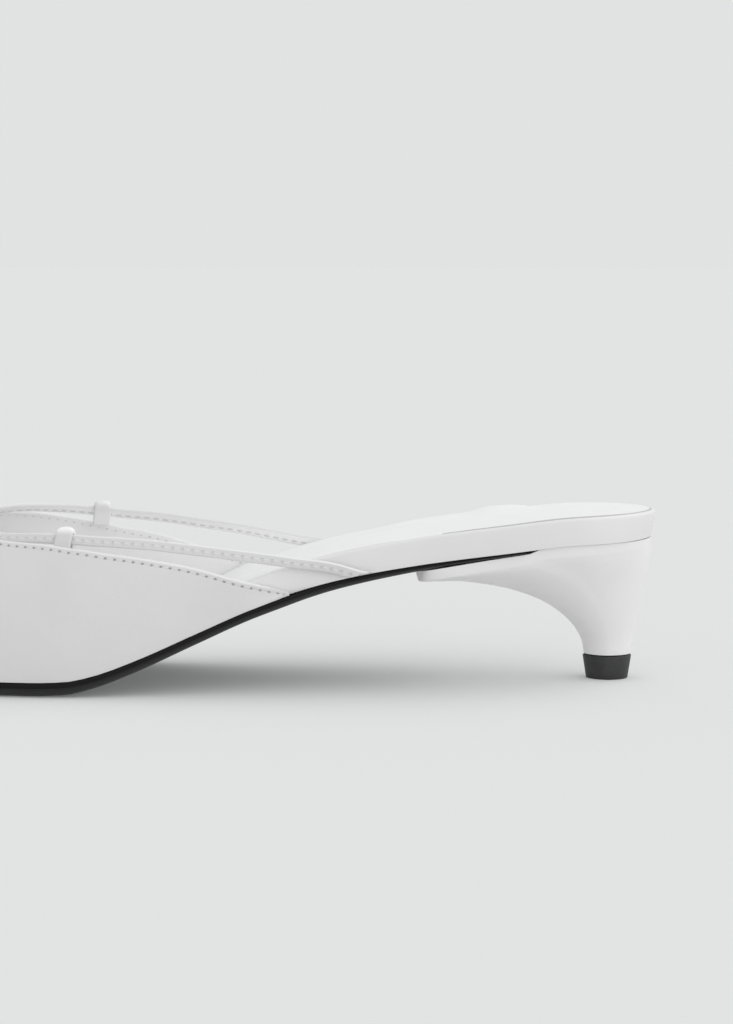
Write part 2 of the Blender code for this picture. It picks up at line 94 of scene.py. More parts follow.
@dataclass(frozen=True)
class Curve:
    """Smooth curve through pairs of place and value, which never overshoots them.

    Args:
        rows: The pairs, in rising order of place.
    """

    rows: tuple[tuple[float, float], ...]

    @classmethod
    def of(cls, rows: Sequence[tuple[float, ...]], value: int = 1) -> "Curve":
        """Curve through one column of a table, against its first."""
        return cls(tuple((row[0], row[value]) for row in rows))

    @cached_property
    def tangents(self) -> list[float]:
        """Slope of the curve at each row.

        Returns:
            A slope for each row.
        """
        slopes = [(b[1] - a[1]) / (b[0] - a[0]) for a, b in zip(self.rows, self.rows[1:])]
        inner = [2 * a * b / (a + b) if a * b > 0 else 0.0 for a, b in zip(slopes, slopes[1:])]
        return [slopes[0], *inner, slopes[-1]]

    def at(self, place: float) -> float:
        """Value of the curve at a place, held beyond its ends.

        Args:
            place: Place along the curve.

        Returns:
            The value there.
        """
        place = min(max(place, self.rows[0][0]), self.rows[-1][0])
        index = max(i for i in range(len(self.rows) - 1) if self.rows[i][0] <= place)
        (start, low), (end, high) = self.rows[index], self.rows[index + 1]
        step = end - start
        t = (place - start) / step
        return (
            low * (1 + 2 * t) * (1 - t) ** 2
            + self.tangents[index] * step * t * (1 - t) ** 2
            + high * t * t * (3 - 2 * t)
            - self.tangents[index + 1] * step * t * t * (1 - t)
        )


def eased(value: float) -> float:
    """Smooth step from 0 to 1."""
    value = min(max(value, 0.0), 1.0)
    return value * value * (3 - 2 * value)


def ramp(value: float, start: float, length: float) -> float:
    """Smooth step from 0 at start to 1 a length further."""
    return eased((value - start) / length)


def quarter(step: int, steps: int) -> tuple[float, float]:
    """Sine and cosine of a step through a quarter turn."""
    angle = math.pi / 2 * step / steps
    return math.sin(angle), math.cos(angle)


def blend(a: Any, b: Any, share: float) -> Any:
    """Value or point that share of the way from a to b."""
    return a + (b - a) * share


def round_spacing(start: float, end: float, count: int) -> list[float]:
    """Values from start to end, close together at both ends."""
    return [start + (end - start) * (1 - math.cos(math.pi * i / count)) / 2 for i in range(count + 1)]


def two_sided(reaches: Sequence[float], point: Callable[[float, Side], Vector]) -> list[Vector]:
    """Closed ring with a point at each reach, along the lateral side and back along the medial."""
    lateral, medial = ([point(reach, side) for reach in reaches] for side in Side)
    return lateral + medial[::-1]


def corner_arcs(half_wide: float, half_high: float, radius: float) -> list[list[tuple[float, float]]]:
    """Points of a rounded section's four corners, once round from the first quarter.

    Args:
        half_wide: Half the section's width.
        half_high: Half the section's height.
        radius: Radius of its corners.

    Returns:
        A list of points for each corner.
    """
    arcs = []
    for number, (x, y) in enumerate(((1, 1), (-1, 1), (-1, -1), (1, -1))):
        turns = [math.pi / 2 * (number + step / 3) for step in range(4)]
        arcs.append([(x * (half_wide - radius) + radius * math.cos(turn),
                      y * (half_high - radius) + radius * math.sin(turn)) for turn in turns])
    return arcs


def with_ends(rings: list[list[Vector]]) -> list[list[Vector]]:
    """The rings, with one more at each end that is drawn together into a point."""
    first, last = ([sum(ring, Vector()) / len(ring)] * len(ring) for ring in (rings[0], rings[-1]))
    return [first, *rings, last]


OUTLINE = (
    Row(0.00, 0.350, 0.350),
    Row(0.15, 0.364, 0.364),
    Row(0.26, 0.354, 0.350),
    Row(0.37, 0.366, 0.346),
    Row(0.47, 0.420, 0.388),
    Row(0.57, 0.482, 0.450),
    Row(0.65, 0.512, 0.488),
    Row(0.73, 0.508, 0.496),
    Row(1.00, 0.505, 0.500),
)

ARCH = (
    (0.000, 1.000),
    (0.135, 0.980),
    (0.264, 0.913),
    (0.395, 0.832),
    (0.524, 0.722),
    (0.653, 0.538),
    (0.749, 0.352),
    (0.846, 0.158),
    (0.909, 0.054),
    (0.955, 0.009),
    (1.000, 0.000),
)

SUBSTANCE = (
    (0.00, 0.150),
    (0.21, 0.165),
    (0.36, 0.370),
    (0.49, 0.580),
    (0.56, 0.690),
    (0.70, 0.790),
    (0.85, 0.900),
    (1.00, 1.000),
)

INSTEP = (
    (0.30, 0.870),
    (0.45, 0.935),
    (0.56, 1.000),
    (0.62, 0.975),
    (0.72, 0.795),
    (0.81, 0.640),
    (0.87, 0.510),
    (0.94, 0.340),
    (1.00, 0.190),
)

TOPLINE = (
    Row(0.00, 0.018, 0.018),
    Row(0.12, 0.140, 0.136),
    Row(0.24, 0.278, 0.268),
    Row(0.38, 0.415, 0.427),
    Row(0.52, 0.541, 0.569),
    Row(0.64, 0.640, 0.692),
    Row(0.78, 0.752, 0.838),
    Row(1.00, 1.000, 1.000),
)


@dataclass(frozen=True)
class Last:
    """The form that the shoe is made on: plan, arch, toe spring and instep.

    Args:
        shoe_length: Length of the finished shoe.
        ball_width: Width of the footbed at the ball.
        heel_height: Height of the footbed's underside at the heel.
        tread_start: Reach at which the sole comes down to the floor.
        tread_length: Length of the flat tread.
        toe_spring: Rise of the toe.
        spring_power: Power with which the toe rises.
        seat_round: Length of the rounded heel seat.
        toe_taper: Length over which the toe narrows.
        taper_power: Power with which it starts to narrow.
        point_power: Power that shapes its point.
        toe_swing: How far the toe lies to the medial side.
        heel_y: Y of the heel's middle.
        vamp_wall: Thickness of the vamp.
        sole_proud: How far the sole stands out past the vamp.
        instep_height: Greatest height of the last.
        fullness: How full its sides are.
        throat_reach: Reach of the front of the throat.
        wing_reach: Reach of the vamp's ends.
        toe_height: Height of the last at its nose.
        toe_nose: Length of the blunt nose.
        bed_thickness: Thickness of the footbed.
        forepart_thickness: Its thickness under the toes.
        forepart_start: Distance past the vamp's ends at which it thins.
        forepart_skive: Length over which it thins.
        sole_thickness: Thickness of the outsole.
    """

    shoe_length: float = 0.270
    ball_width: float = 0.0745
    heel_height: float = 0.0433
    tread_start: float = 0.182
    tread_length: float = 0.034
    toe_spring: float = 0.006
    spring_power: float = 1.8
    seat_round: float = 0.026
    toe_taper: float = 0.097
    taper_power: float = 1.7
    point_power: float = 0.72
    toe_swing: float = 0.003
    heel_y: float = 0.00095
    vamp_wall: float = 0.0013
    sole_proud: float = 0.0003
    instep_height: float = 0.066
    fullness: float = 0.05
    throat_reach: float = 0.218
    wing_reach: float = 0.1096
    toe_height: float = 0.0055
    toe_nose: float = 0.014
    bed_thickness: float = 0.0081
    forepart_thickness: float = 0.0040
    forepart_start: float = 0.0134
    forepart_skive: float = 0.035
    sole_thickness: float = 0.0044

    @cached_property
    def length(self) -> float:
        """Length of the last itself."""
        return self.shoe_length - GAP - self.vamp_wall - self.sole_proud

    @cached_property
    def back(self) -> float:
        """X of the back of the heel."""
        return self.shoe_length / 2

    @cached_property
    def outline(self) -> dict[Side, Curve]:
        """Half widths of the two sides."""
        return {Side.LATERAL: Curve.of(OUTLINE, 1), Side.MEDIAL: Curve.of(OUTLINE, 2)}

    @cached_property
    def topline(self) -> dict[Side, Curve]:
        """Rise of the vamp's edge on the two sides."""
        return {Side.LATERAL: Curve.of(TOPLINE, 1), Side.MEDIAL: Curve.of(TOPLINE, 2)}

    @cached_property
    def arch(self) -> Curve:
        """Lift of the footbed's underside."""
        return Curve.of(ARCH)

    @cached_property
    def substance(self) -> Curve:
        """Thickness of the sole along the waist."""
        return Curve.of(SUBSTANCE)

    @cached_property
    def instep(self) -> Curve:
        """Height of the last along its length."""
        return Curve.of(INSTEP)

    def half_width(self, reach: float, side: Side) -> float:
        """Half width of the footbed at a reach from the heel's back.

        Args:
            reach: Distance forward from the heel's back.
            side: Side of the foot.

        Returns:
            Distance from the middle line to the edge.
        """
        share = self.outline[side].at(reach / self.length)
        back = min(reach / self.seat_round, 1.0)
        front = max((reach - self.length + self.toe_taper) / self.toe_taper, 0.0)
        seat = math.sqrt(max(1 - (1 - back) ** 2, 0.0))
        return self.ball_width * share * seat * max(1 - front**self.taper_power, 0.0) ** self.point_power

    def middle(self, reach: float) -> float:
        """Y of the last's middle, which swings to the medial side at the toe."""
        swing = ramp(reach, self.tread_start, self.length - self.tread_start)
        return self.heel_y + self.toe_swing * swing

    def feather(self, reach: float) -> float:
        """Height of the footbed's underside.

        Args:
            reach: Distance forward from the heel's back.

        Returns:
            Height over the floor.
        """
        lift = (self.heel_height - self.sole_thickness) * self.arch.at(reach / self.tread_start)
        free = self.tread_start + self.tread_length
        spring = max((reach - free) / (self.length - free), 0.0)
        return self.sole_thickness + lift + self.toe_spring * spring**self.spring_power

    def sole_depth(self, reach: float) -> float:
        """Depth from the footbed's underside to the bottom of the outsole."""
        return self.sole_thickness * self.substance.at(reach / self.tread_start)

    def bed(self, reach: float) -> float:
        """Thickness of the footbed."""
        share = eased((reach - self.wing_reach - self.forepart_start) / self.forepart_skive)
        return blend(self.bed_thickness, self.forepart_thickness, share)

    def plan(self, reach: float, side: Side, offset: float, height: float) -> Vector:
        """Point of the outline, moved out square to it.

        Args:
            reach: Distance from the heel's back.
            side: Side of the foot.
            offset: Distance out from the outline.
            height: Z of the point.

        Returns:
            The point.
        """
        width = self.half_width(reach, side)
        low, high = max(reach - 1e-6, 0.0), min(reach + 1e-6, self.length)
        slope = (self.half_width(high, side) - self.half_width(low, side)) / (high - low)
        swing = (self.middle(high) - self.middle(low)) / (high - low)
        out = Vector((slope + side.value * swing, side.value)).normalized()
        if reach in (0.0, self.length):
            out = Vector((1.0 if reach == 0.0 else -1.0, 0.0))
        place = Vector((self.back - reach, self.middle(reach) + side.value * width)) + out * offset
        return Vector((place.x, place.y, height))

    def height(self, reach: float) -> float:
        """Height of the last over the footbed's underside, with a blunt nose.

        Args:
            reach: Distance forward from the heel's back.

        Returns:
            The height there.
        """
        full = self.instep_height * self.instep.at(reach / self.length)
        ahead = min((self.length - reach) / self.toe_nose, 1.0)
        return self.toe_height + (full - self.toe_height) * math.sqrt(max(1 - (1 - ahead) ** 2, 0.0))

    def skin(self, reach: float, side: Side, angle: float) -> Vector:
        """Point of the last's skin, from the feather edge at 0 to the ridge at a quarter turn.

        Args:
            reach: Distance forward from the heel's back.
            side: Side of the foot.
            angle: Angle up the last's skin, 0 at the feather edge and a quarter turn at the ridge.

        Returns:
            The point.
        """
        fullness = math.cos(angle) * (1 + self.fullness * math.sin(2 * angle))
        return Vector((
            self.back - reach,
            self.middle(reach) + side.value * self.half_width(reach, side) * fullness,
            self.feather(reach) + self.height(reach) * math.sin(angle),
        ))

    def normal(self, reach: float, side: Side, angle: float) -> Vector:
        """Outward normal of the last's skin.

        Args:
            reach: Distance forward from the heel's back.
            side: Side of the foot.
            angle: Angle up the last's skin, 0 at the feather edge and a quarter turn at the ridge.

        Returns:
            The normal, of length 1.
        """
        if reach >= self.length:
            return Vector((-1.0, 0.0, 0.0))
        step = 1e-5
        along = self.skin(min(reach + step, self.length), side, angle) - self.skin(reach - step, side, angle)
        up = self.skin(reach, side, angle + step) - self.skin(reach, side, angle - step)
        return (along.cross(up) * side.value).normalized()

    def topline_angle(self, reach: float, side: Side) -> float:
        """Angle on the last at which the vamp ends."""
        along = (reach - self.wing_reach) / (self.throat_reach - self.wing_reach)
        return math.asin(min(self.topline[side].at(along), 1.0))


@dataclass(frozen=True)
class Socket:
    """A shader value that takes part in Python expressions.

    Args:
        tree: The node tree that it is in.
        link: The output socket.
    """

    tree: bpy.types.NodeTree
    link: bpy.types.NodeSocket

    def math(self, operation: str, other: Any = 0.0, flipped: bool = False) -> "Socket":
        """Math node on this value and another, the other first if flipped."""
        pair = (other, self) if flipped else (self, other)
        return Graph(self.tree).node("ShaderNodeMath", {"operation": operation}, {0: pair[0], 1: pair[1]})

    def __add__(self, other: Any) -> "Socket":
        """Sum of this value and another."""
        return self.math("ADD", other)

    __radd__ = __add__

    def __mul__(self, other: Any) -> "Socket":
        """Product of this value and another."""
        return self.math("MULTIPLY", other)

    def __sub__(self, other: Any) -> "Socket":
        """This value less another."""
        return self.math("SUBTRACT", other)

    def __rsub__(self, other: Any) -> "Socket":
        """Another value less this one."""
        return self.math("SUBTRACT", other, True)

    def __truediv__(self, other: Any) -> "Socket":
        """This value divided by another."""
        return self.math("DIVIDE", other)

    def between(self, low: float, high: float) -> "Socket":
        """Smooth step of this value from 0 at low to 1 at high."""
        settings = {"interpolation_type": "SMOOTHSTEP"}
        return Graph(self.tree).node("ShaderNodeMapRange", settings, {0: self, 1: low, 2: high})


@dataclass(frozen=True)
class Graph:
    """Builds a material's nodes.

    Args:
        tree: The material's node tree.
    """

    tree: bpy.types.NodeTree

    def node(self, kind: str, settings: dict[str, Any] | None = None,
             inputs: dict[Any, Any] | None = None, output: Any = 0) -> Socket:
        """Add one node.

        Args:
            kind: The node's type.
            settings: Its properties, set first.
            inputs: Values or sockets by the name or number of the input.
            output: Name or number of the output that is returned.

        Returns:
            The output as a socket.
        """
        made = self.tree.nodes.new(kind)
        for name, value in (settings or {}).items():
            setattr(made, name, value)
        for name, value in (inputs or {}).items():
            if isinstance(value, Socket):
                self.tree.links.new(value.link, made.inputs[name])
            else:
                made.inputs[name].default_value = value
        return Socket(self.tree, made.outputs[output])

    def place(self) -> Socket:
        """Object coordinates."""
        return self.node("ShaderNodeTexCoord", output="Object")

    def noise(self, size: float, detail: float = 2.0, roughness: float = 0.5) -> Socket:
        """Noise with features of about one size, in metres."""
        inputs = {"Vector": self.place(), "Scale": 1 / size, "Detail": detail, "Roughness": roughness}
        return self.node("ShaderNodeTexNoise", None, inputs)

    def pores(self, size: float) -> Socket:
        """Cells of leather grain: 0 in the creases between them."""
        inputs = {"Vector": self.place(), "Scale": 1 / size, "Randomness": 1.0}
        return self.node("ShaderNodeTexVoronoi", {"feature": "DISTANCE_TO_EDGE"}, inputs)

    def mix(self, share: Any, first: Any, second: Any) -> Socket:
        """Colour between two colours."""
        return self.node("ShaderNodeMix", {"data_type": "RGBA"}, {0: share, 6: first, 7: second}, 2)

    def seam(self, part: int) -> Socket:
        """Distance along a seamed edge (0), distance in from it (1), or share of painted light (2)."""
        vector = self.node("ShaderNodeAttribute", {"attribute_name": SEAM}, None, "Vector")
        return self.node("ShaderNodeSeparateXYZ", None, {0: vector}, part)

    def bump(self, height: Socket, depth: float, strength: float = 1.0,
             under: Socket | None = None) -> Socket:
        """Bump of a height from 0 to 1 that is worth a depth in metres.

        Args:
            height: Height of the surface, from 0 to 1.
            depth: What a height of 1 is worth, in metres.
            strength: Strength of the bump.
            under: Normal of the bump that it lies over.

        Returns:
            The changed normal.
        """
        inputs: dict[Any, Any] = {"Strength": strength, "Distance": depth, "Height": height}
        if under:
            inputs["Normal"] = under
        return self.node("ShaderNodeBump", None, inputs)


@dataclass(frozen=True)
class Stitching:
    """A row of stitches that a finish shows as needle holes, darkened as painted shade.

    Args:
        pitch: Distance from hole to hole.
        inset: Distance of the row from the edge.
        hole: Length and width of a hole.
        darkness: How dark a hole is, 0 to 1: painted shade of the hole.
    """

    pitch: float
    inset: float
    hole: tuple[float, float] = (0.00085, 0.00050)
    darkness: float = 0.75

    def mask(self, graph: Graph) -> Socket:
        """1 in the middle of each hole and 0 outside it.

        Args:
            graph: Graph of the material.

        Returns:
            The mask of the holes.
        """
        along, across = graph.seam(0), graph.seam(1)
        cell = ((along / self.pitch).math("FRACT") - 0.5) * (2 * self.pitch / self.hole[0])
        off = (across - self.inset) * (2 / self.hole[1])
        return 1 - (cell * cell + off * off).between(0.25, 1.6)


@dataclass(frozen=True)
class Leather:
    """Smooth finished leather.

    Args:
        color: Base colour.
        tone: Second colour that it drifts to in broad patches.
        roughness: Roughness of the finish.
        grain: Size of the grain's cells.
        depth: Depth of the grain.
        coat: Weight of the top coat.
        stitching: Needle holes along a seamed edge.
        edge: Lighter colour painted over a marked share: a painted highlight on folds and crowns, and painted
            light over shaded backs and lower edges.
        hidden: Share of the holes that is lost where that painted light is full.
    """

    color: tuple[float, float, float]
    tone: tuple[float, float, float]
    roughness: float = 0.40
    grain: float = 0.0005
    depth: float = 0.000016
    coat: float = 0.10
    stitching: Stitching | None = None
    edge: tuple[float, float, float] | None = None
    hidden: float = 0.7

    def material(self, name: str) -> bpy.types.Material:
        """Node material of this finish.

        Args:
            name: Name of the material.

        Returns:
            The new material.
        """
        made, graph, shader = new_material(name)
        patches = graph.noise(0.020, 3.0).between(0.35, 0.68)
        clouds = graph.noise(0.0035, 3.0, 0.6)
        color = graph.mix(patches * 0.7 + clouds * 0.3, (*self.color, 1), (*self.tone, 1))
        cells = graph.pores(self.grain).between(0.0, 0.28)
        rough = self.roughness - 0.06 + clouds * 0.10 + (1 - cells) * 0.05
        normal = graph.bump(cells * 0.6 + graph.noise(self.grain * 2.2, 3.0) * 0.9, self.depth)
        normal = graph.bump(graph.noise(0.006, 2.0, 0.4), 0.00009, 0.8, normal)
        # Painted light: the seam's third value mixes in the lighter edge colour as a painted highlight and as
        # painted light over shade.
        share = graph.seam(2).between(0.0, 1.0)
        if self.edge:
            color = graph.mix(share, color, (*self.edge, 1))
        if self.stitching:
            holes = self.stitching.mask(graph) * (1 - share * self.hidden)
            # Painted shade: each needle hole is darkened in colour.
            color = graph.mix(holes * self.stitching.darkness, color, (0.10, 0.10, 0.10, 1))
            rough = rough + holes * 0.3
            normal = graph.bump(1 - holes, 0.00018, 1.0, normal)
        plug(shader, {"Base Color": color, "Roughness": rough, "Normal": normal})
        shader.inputs["Coat Weight"].default_value = self.coat
        shader.inputs["Coat Roughness"].default_value = 0.22
        return made


@dataclass(frozen=True)
class Lining:
    """Matt lining leather with a fine nap.

    Args:
        color: Base colour.
        tone: Second colour.
        nap: Size of the nap.
        stitching: Needle holes along a seamed edge.
    """

    color: tuple[float, float, float]
    tone: tuple[float, float, float]
    nap: float = 0.0004
    stitching: Stitching | None = None

    def material(self, name: str) -> bpy.types.Material:
        """Node material of this finish.

        Args:
            name: Name of the material.

        Returns:
            The new material.
        """
        made, graph, shader = new_material(name)
        clouds = graph.noise(0.008, 4.0, 0.6)
        fibres = graph.noise(self.nap, 4.0, 0.7)
        pores = graph.pores(self.nap * 2.5).between(0.0, 0.2)
        color = graph.mix(clouds.between(0.3, 0.7) * 0.8 + fibres * 0.2, (*self.color, 1), (*self.tone, 1))
        normal = graph.bump(fibres * 0.7 + pores * 0.5, 0.000025)
        if self.stitching:
            holes = self.stitching.mask(graph)
            # Painted shade: each needle hole is darkened in colour.
            color = graph.mix(holes * self.stitching.darkness, color, (0.12, 0.12, 0.12, 1))
            normal = graph.bump(1 - holes, 0.00015, 1.0, normal)
        plug(shader, {"Base Color": color, "Roughness": 0.50 + fibres * 0.14, "Normal": normal})
        return made


@dataclass(frozen=True)
class SoleEdge:
    """Black sole leather: inked and waxed edges with fine fibres along them, and a duller bottom.

    Args:
        color: Base colour.
        tone: Colour where the wax is thin.
        roughness: Roughness of the waxed edge.
        coat: Weight of the wax.
        shine: Specular level.
    """

    color: tuple[float, float, float] = (0.004, 0.004, 0.004)
    tone: tuple[float, float, float] = (0.016, 0.016, 0.016)
    roughness: float = 0.24
    coat: float = 0.12
    shine: float = 0.30

    def material(self, name: str) -> bpy.types.Material:
        """Node material of this finish.

        Args:
            name: Name of the material.

        Returns:
            The new material.
        """
        made, graph, shader = new_material(name)
        along = {"Vector": graph.place(), "Scale": (0.12, 0.12, 1.0)}
        stretched = graph.node("ShaderNodeMapping", None, along)
        fibres = graph.node("ShaderNodeTexNoise", None,
                            {"Vector": stretched, "Scale": 2600.0, "Detail": 3.0, "Roughness": 0.6})
        scuffs = graph.noise(0.006, 5.0, 0.72).between(0.52, 0.75)
        down = graph.node("ShaderNodeNewGeometry", None, None, "Normal")
        facing = graph.node("ShaderNodeSeparateXYZ", None, {0: down}, 2)
        under = (0.0 - facing).between(0.80, 0.97)
        color = graph.mix(fibres * 0.35 + scuffs * 0.35, (*self.color, 1), (*self.tone, 1))
        rough = self.roughness + fibres * 0.10 + scuffs * 0.14 + under * 0.22
        normal = graph.bump(fibres, 0.00002)
        normal = graph.bump(graph.noise(0.0009, 4.0, 0.7), 0.00003, 0.8, normal)
        plug(shader, {"Base Color": color, "Roughness": rough, "Normal": normal})
        shader.inputs["Specular IOR Level"].default_value = self.shine
        shader.inputs["Coat Weight"].default_value = self.coat
        shader.inputs["Coat Roughness"].default_value = 0.16
        return made


@dataclass(frozen=True)
class TipRubber:
    """Moulded black rubber of the heel's tip.

    Args:
        color: Base colour.
        roughness: Roughness where it is cleanest.
    """

    color: tuple[float, float, float] = (0.022, 0.022, 0.022)
    roughness: float = 0.46

    def material(self, name: str) -> bpy.types.Material:
        """Node material of this finish.

        Args:
            name: Name of the material.

        Returns:
            The new material.
        """
        made, graph, shader = new_material(name)
        grain = graph.noise(0.00035, 3.0, 0.6)
        dust = graph.noise(0.004, 4.0, 0.7).between(0.45, 0.8)
        color = graph.mix(dust * 0.4 + grain * 0.2, (*self.color, 1), (0.050, 0.050, 0.050, 1))
        normal = graph.bump(grain, 0.00004)
        plug(shader, {"Base Color": color, "Roughness": self.roughness + grain * 0.16, "Normal": normal})
        return made


@dataclass(frozen=True)
class Thread:
    """Twisted thread.

    Args:
        color: Its colour.
    """

    color: tuple[float, float, float] = (0.82, 0.82, 0.82)

    def material(self, name: str) -> bpy.types.Material:
        """Node material of this finish.

        Args:
            name: Name of the material.

        Returns:
            The new material.
        """
        made, graph, shader = new_material(name)
        twist = graph.noise(0.00025, 2.0)
        color = graph.mix(twist, (*self.color, 1), (0.70, 0.70, 0.70, 1))
        plug(shader, {"Base Color": color, "Roughness": 0.55 + twist * 0.2,
                      "Normal": graph.bump(twist, 0.00006)})
        return made


@dataclass(frozen=True)
class Paper:
    """Pale translucent sheet of the floor, lit a little from below.

    Args:
        color: Its colour.
        glow: Light that it gives by itself.
    """

    color: tuple[float, float, float]
    glow: tuple[float, float, float]

    def material(self, name: str) -> bpy.types.Material:
        """Node material of this finish.

        Args:
            name: Name of the material.

        Returns:
            The new material.
        """
        made, graph, shader = new_material(name)
        plug(shader, {"Roughness": 0.85 + graph.noise(0.01) * 0.1})
        shader.inputs["Base Color"].default_value = (*self.color, 1)
        shader.inputs["Specular IOR Level"].default_value = 0.0
        shader.inputs["Emission Color"].default_value = (*self.glow, 1)
        shader.inputs["Emission Strength"].default_value = 1.0
        return made


def new_material(name: str) -> tuple[bpy.types.Material, Graph, bpy.types.ShaderNode]:
    """Empty node material with its graph and its main shader.

    Args:
        name: Name of the material.

    Returns:
        The material, its graph and its main shader.
    """
    made = bpy.data.materials.new(name)
    made.use_nodes = True
    return made, Graph(made.node_tree), made.node_tree.nodes["Principled BSDF"]


def plug(shader: bpy.types.ShaderNode, sockets: dict[str, Socket]) -> None:
    """Link sockets to a shader's inputs by name."""
    for name, socket in sockets.items():
        socket.tree.links.new(socket.link, shader.inputs[name])


Place = Callable[[int, int], Vector]


def lattice(columns: int, rows: int, place: Place, seam: Place | None = None) -> bmesh.types.BMesh:
    """Grid moved onto a surface, its meeting edges merged.

    Args:
        columns: Number of faces along the first direction.
        rows: Number of faces along the second direction.
        place: Point for a column and a row of the grid's corners.
        seam: Seam values for the same corners: along, in from the edge, and share of painted light.

    Returns:
        The mesh, with its normals outwards.
    """
    bm = bmesh.new()
    bmesh.ops.create_grid(bm, x_segments=columns, y_segments=rows, size=0.5)
    layer = bm.verts.layers.float_vector.new(SEAM)
    for vert in bm.verts:
        i, j = round((vert.co.x + 0.5) * columns), round((vert.co.y + 0.5) * rows)
        vert.co = place(i, j)
        vert[layer] = seam(i, j) if seam else Vector((0, FAR, 0))
    bmesh.ops.remove_doubles(bm, verts=bm.verts, dist=2e-6)
    bmesh.ops.dissolve_degenerate(bm, edges=bm.edges, dist=1e-7)
    bmesh.ops.recalc_face_normals(bm, faces=bm.faces)
    if bm.calc_volume(signed=True) < 0:
        bmesh.ops.reverse_faces(bm, faces=bm.faces)
    return bm


def least_mark(bm: bmesh.types.BMesh, face: bmesh.types.BMFace) -> float:
    """Lowest third seam value round a face."""
    layer = bm.verts.layers.float_vector[SEAM]
    return min(vert[layer].z for vert in face.verts)


def loft(rings: Sequence[Sequence[Vector]], seam: Place | None = None) -> bmesh.types.BMesh:
    """Surface through closed rings with equally many points."""
    count = len(rings[0])
    return lattice(count, len(rings) - 1, lambda i, j: rings[j][i % count], seam)


def piece(name: str, bm: bmesh.types.BMesh, materials: Sequence[bpy.types.Material],
          nodes: Sequence[str] = (), sharp: float = 40.0) -> bpy.types.Object:
    """Finish a mesh as a piece of the shoe.

    Args:
        name: Name of the piece.
        bm: Its mesh, which is freed.
        materials: Its materials, in the order of the faces' indices.
        nodes: Solids that it stands for.
        sharp: Angle in degrees over which an edge stays sharp.

    Returns:
        The object.
    """
    mesh = bpy.data.meshes.new(name)
    bm.to_mesh(mesh)
    bm.free()
    for material in materials:
        mesh.materials.append(material)
    mesh.shade_smooth()
    mesh.set_sharp_from_angle(angle=math.radians(sharp))
    made = bpy.data.objects.new(name, mesh)
    bpy.context.scene.collection.objects.link(made)
    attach(made, "root")
    if nodes:
        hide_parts(*nodes)
    LOG.info("%s: %d faces", name, len(mesh.polygons))
    return made


@dataclass(frozen=True)
class Finishes:
    """The shoe's finishes, one material each.

    Args:
        vamp: Outside of the vamp.
        strap: Strap and keepers.
        cover: Leather on the heel.
        band: Leather round the footbed.
        lining: Inside of the vamp, its near-white set lighter than the outer leather as painted light against
            the shade inside.
        sock: Sock on the footbed.
        cut: Grey cut edge of the sock, darker still as painted shade of the groove at the rim.
        sole: Edge and tread of the sole.
        ink: Upper face of the sole.
        tip: Heel tip.
        thread: Thread of the vamp's seam.
        dull_thread: Thread of the strap's seam.
    """

    # Vamp edge colour: painted highlight along the folded topline.
    vamp: Leather = Leather((0.726, 0.714, 0.720), (0.702, 0.690, 0.696), edge=(0.86, 0.85, 0.855),
                            stitching=Stitching(0.0027, 0.0012, (0.0009, 0.00052), 0.50))
    # Strap edge colour: painted highlight on the top edge, and painted light over the shaded back and lower
    # edge.
    strap: Leather = Leather((0.680, 0.669, 0.675), (0.660, 0.649, 0.655), edge=(0.95, 0.94, 0.945),
                             stitching=Stitching(0.0029, 0.0, (0.0010, 0.0009), 0.10))
    cover: Leather = Leather((0.868, 0.852, 0.86), (0.838, 0.823, 0.83))
    band: Leather = Leather((0.796, 0.784, 0.790), (0.778, 0.766, 0.772), roughness=0.42)
    # Lining colour: near-white, raised as painted light to offset the shade inside the vamp.
    lining: Lining = Lining((0.962, 0.956, 0.959), (0.945, 0.939, 0.942),
                            stitching=Stitching(0.0027, 0.0012, (0.0008, 0.0004), 0.25))
    sock: Lining = Lining((0.886, 0.878, 0.882), (0.868, 0.860, 0.864), nap=0.0005)
    # Cut finish: the sock's grey cut edge, darkened further as painted shade of the groove beside the rim.
    cut: Lining = Lining((0.58, 0.575, 0.578), (0.54, 0.535, 0.538), nap=0.0003)
    sole: SoleEdge = SoleEdge((0.006, 0.006, 0.006), (0.020, 0.020, 0.020), 0.26, 0.20, 0.38)
    ink: SoleEdge = SoleEdge((0.008, 0.008, 0.008), (0.020, 0.020, 0.020), 0.42, 0.0, 0.10)
    tip: TipRubber = TipRubber()
    thread: Thread = Thread()
    dull_thread: Thread = Thread((0.72, 0.71, 0.715))

    @cached_property
    def made(self) -> dict[str, bpy.types.Material]:
        """Materials by the finish's name."""
        return {name: getattr(self, name).material(f"{name}_finish") for name in self.__dataclass_fields__}


def row_of_stitches(places: Sequence[tuple[Vector, Vector, Vector]], length: float, width: float,
                    height: float) -> bmesh.types.BMesh:
    """Short rounded threads laid on a surface.

    Args:
        places: Middle, travel and outward direction of each stitch.
        length: Length of a stitch.
        width: Its width.
        height: Its thickness.

    Returns:
        One mesh with all of them.
    """
    bm = bmesh.new()
    for middle, travel, out in places:
        side = out.cross(travel).normalized()
        axes = Matrix((travel * length, side * width, travel.cross(side) * height)).transposed().to_4x4()
        bmesh.ops.create_uvsphere(bm, u_segments=8, v_segments=6, radius=0.5,
                                  matrix=Matrix.Translation(middle) @ axes)
    bmesh.ops.recalc_face_normals(bm, faces=bm.faces)
    return bm


class SockRow(NamedTuple):
    """Form of the sock at a reach: how far its edge stands over the rim, and its pad under the arch.

    Args:
        reach: Distance forward from the heel's back.
        rise: Height of the edge over the rim.
        pad: Height of the pad.
    """

    reach: float
    rise: float
    pad: float


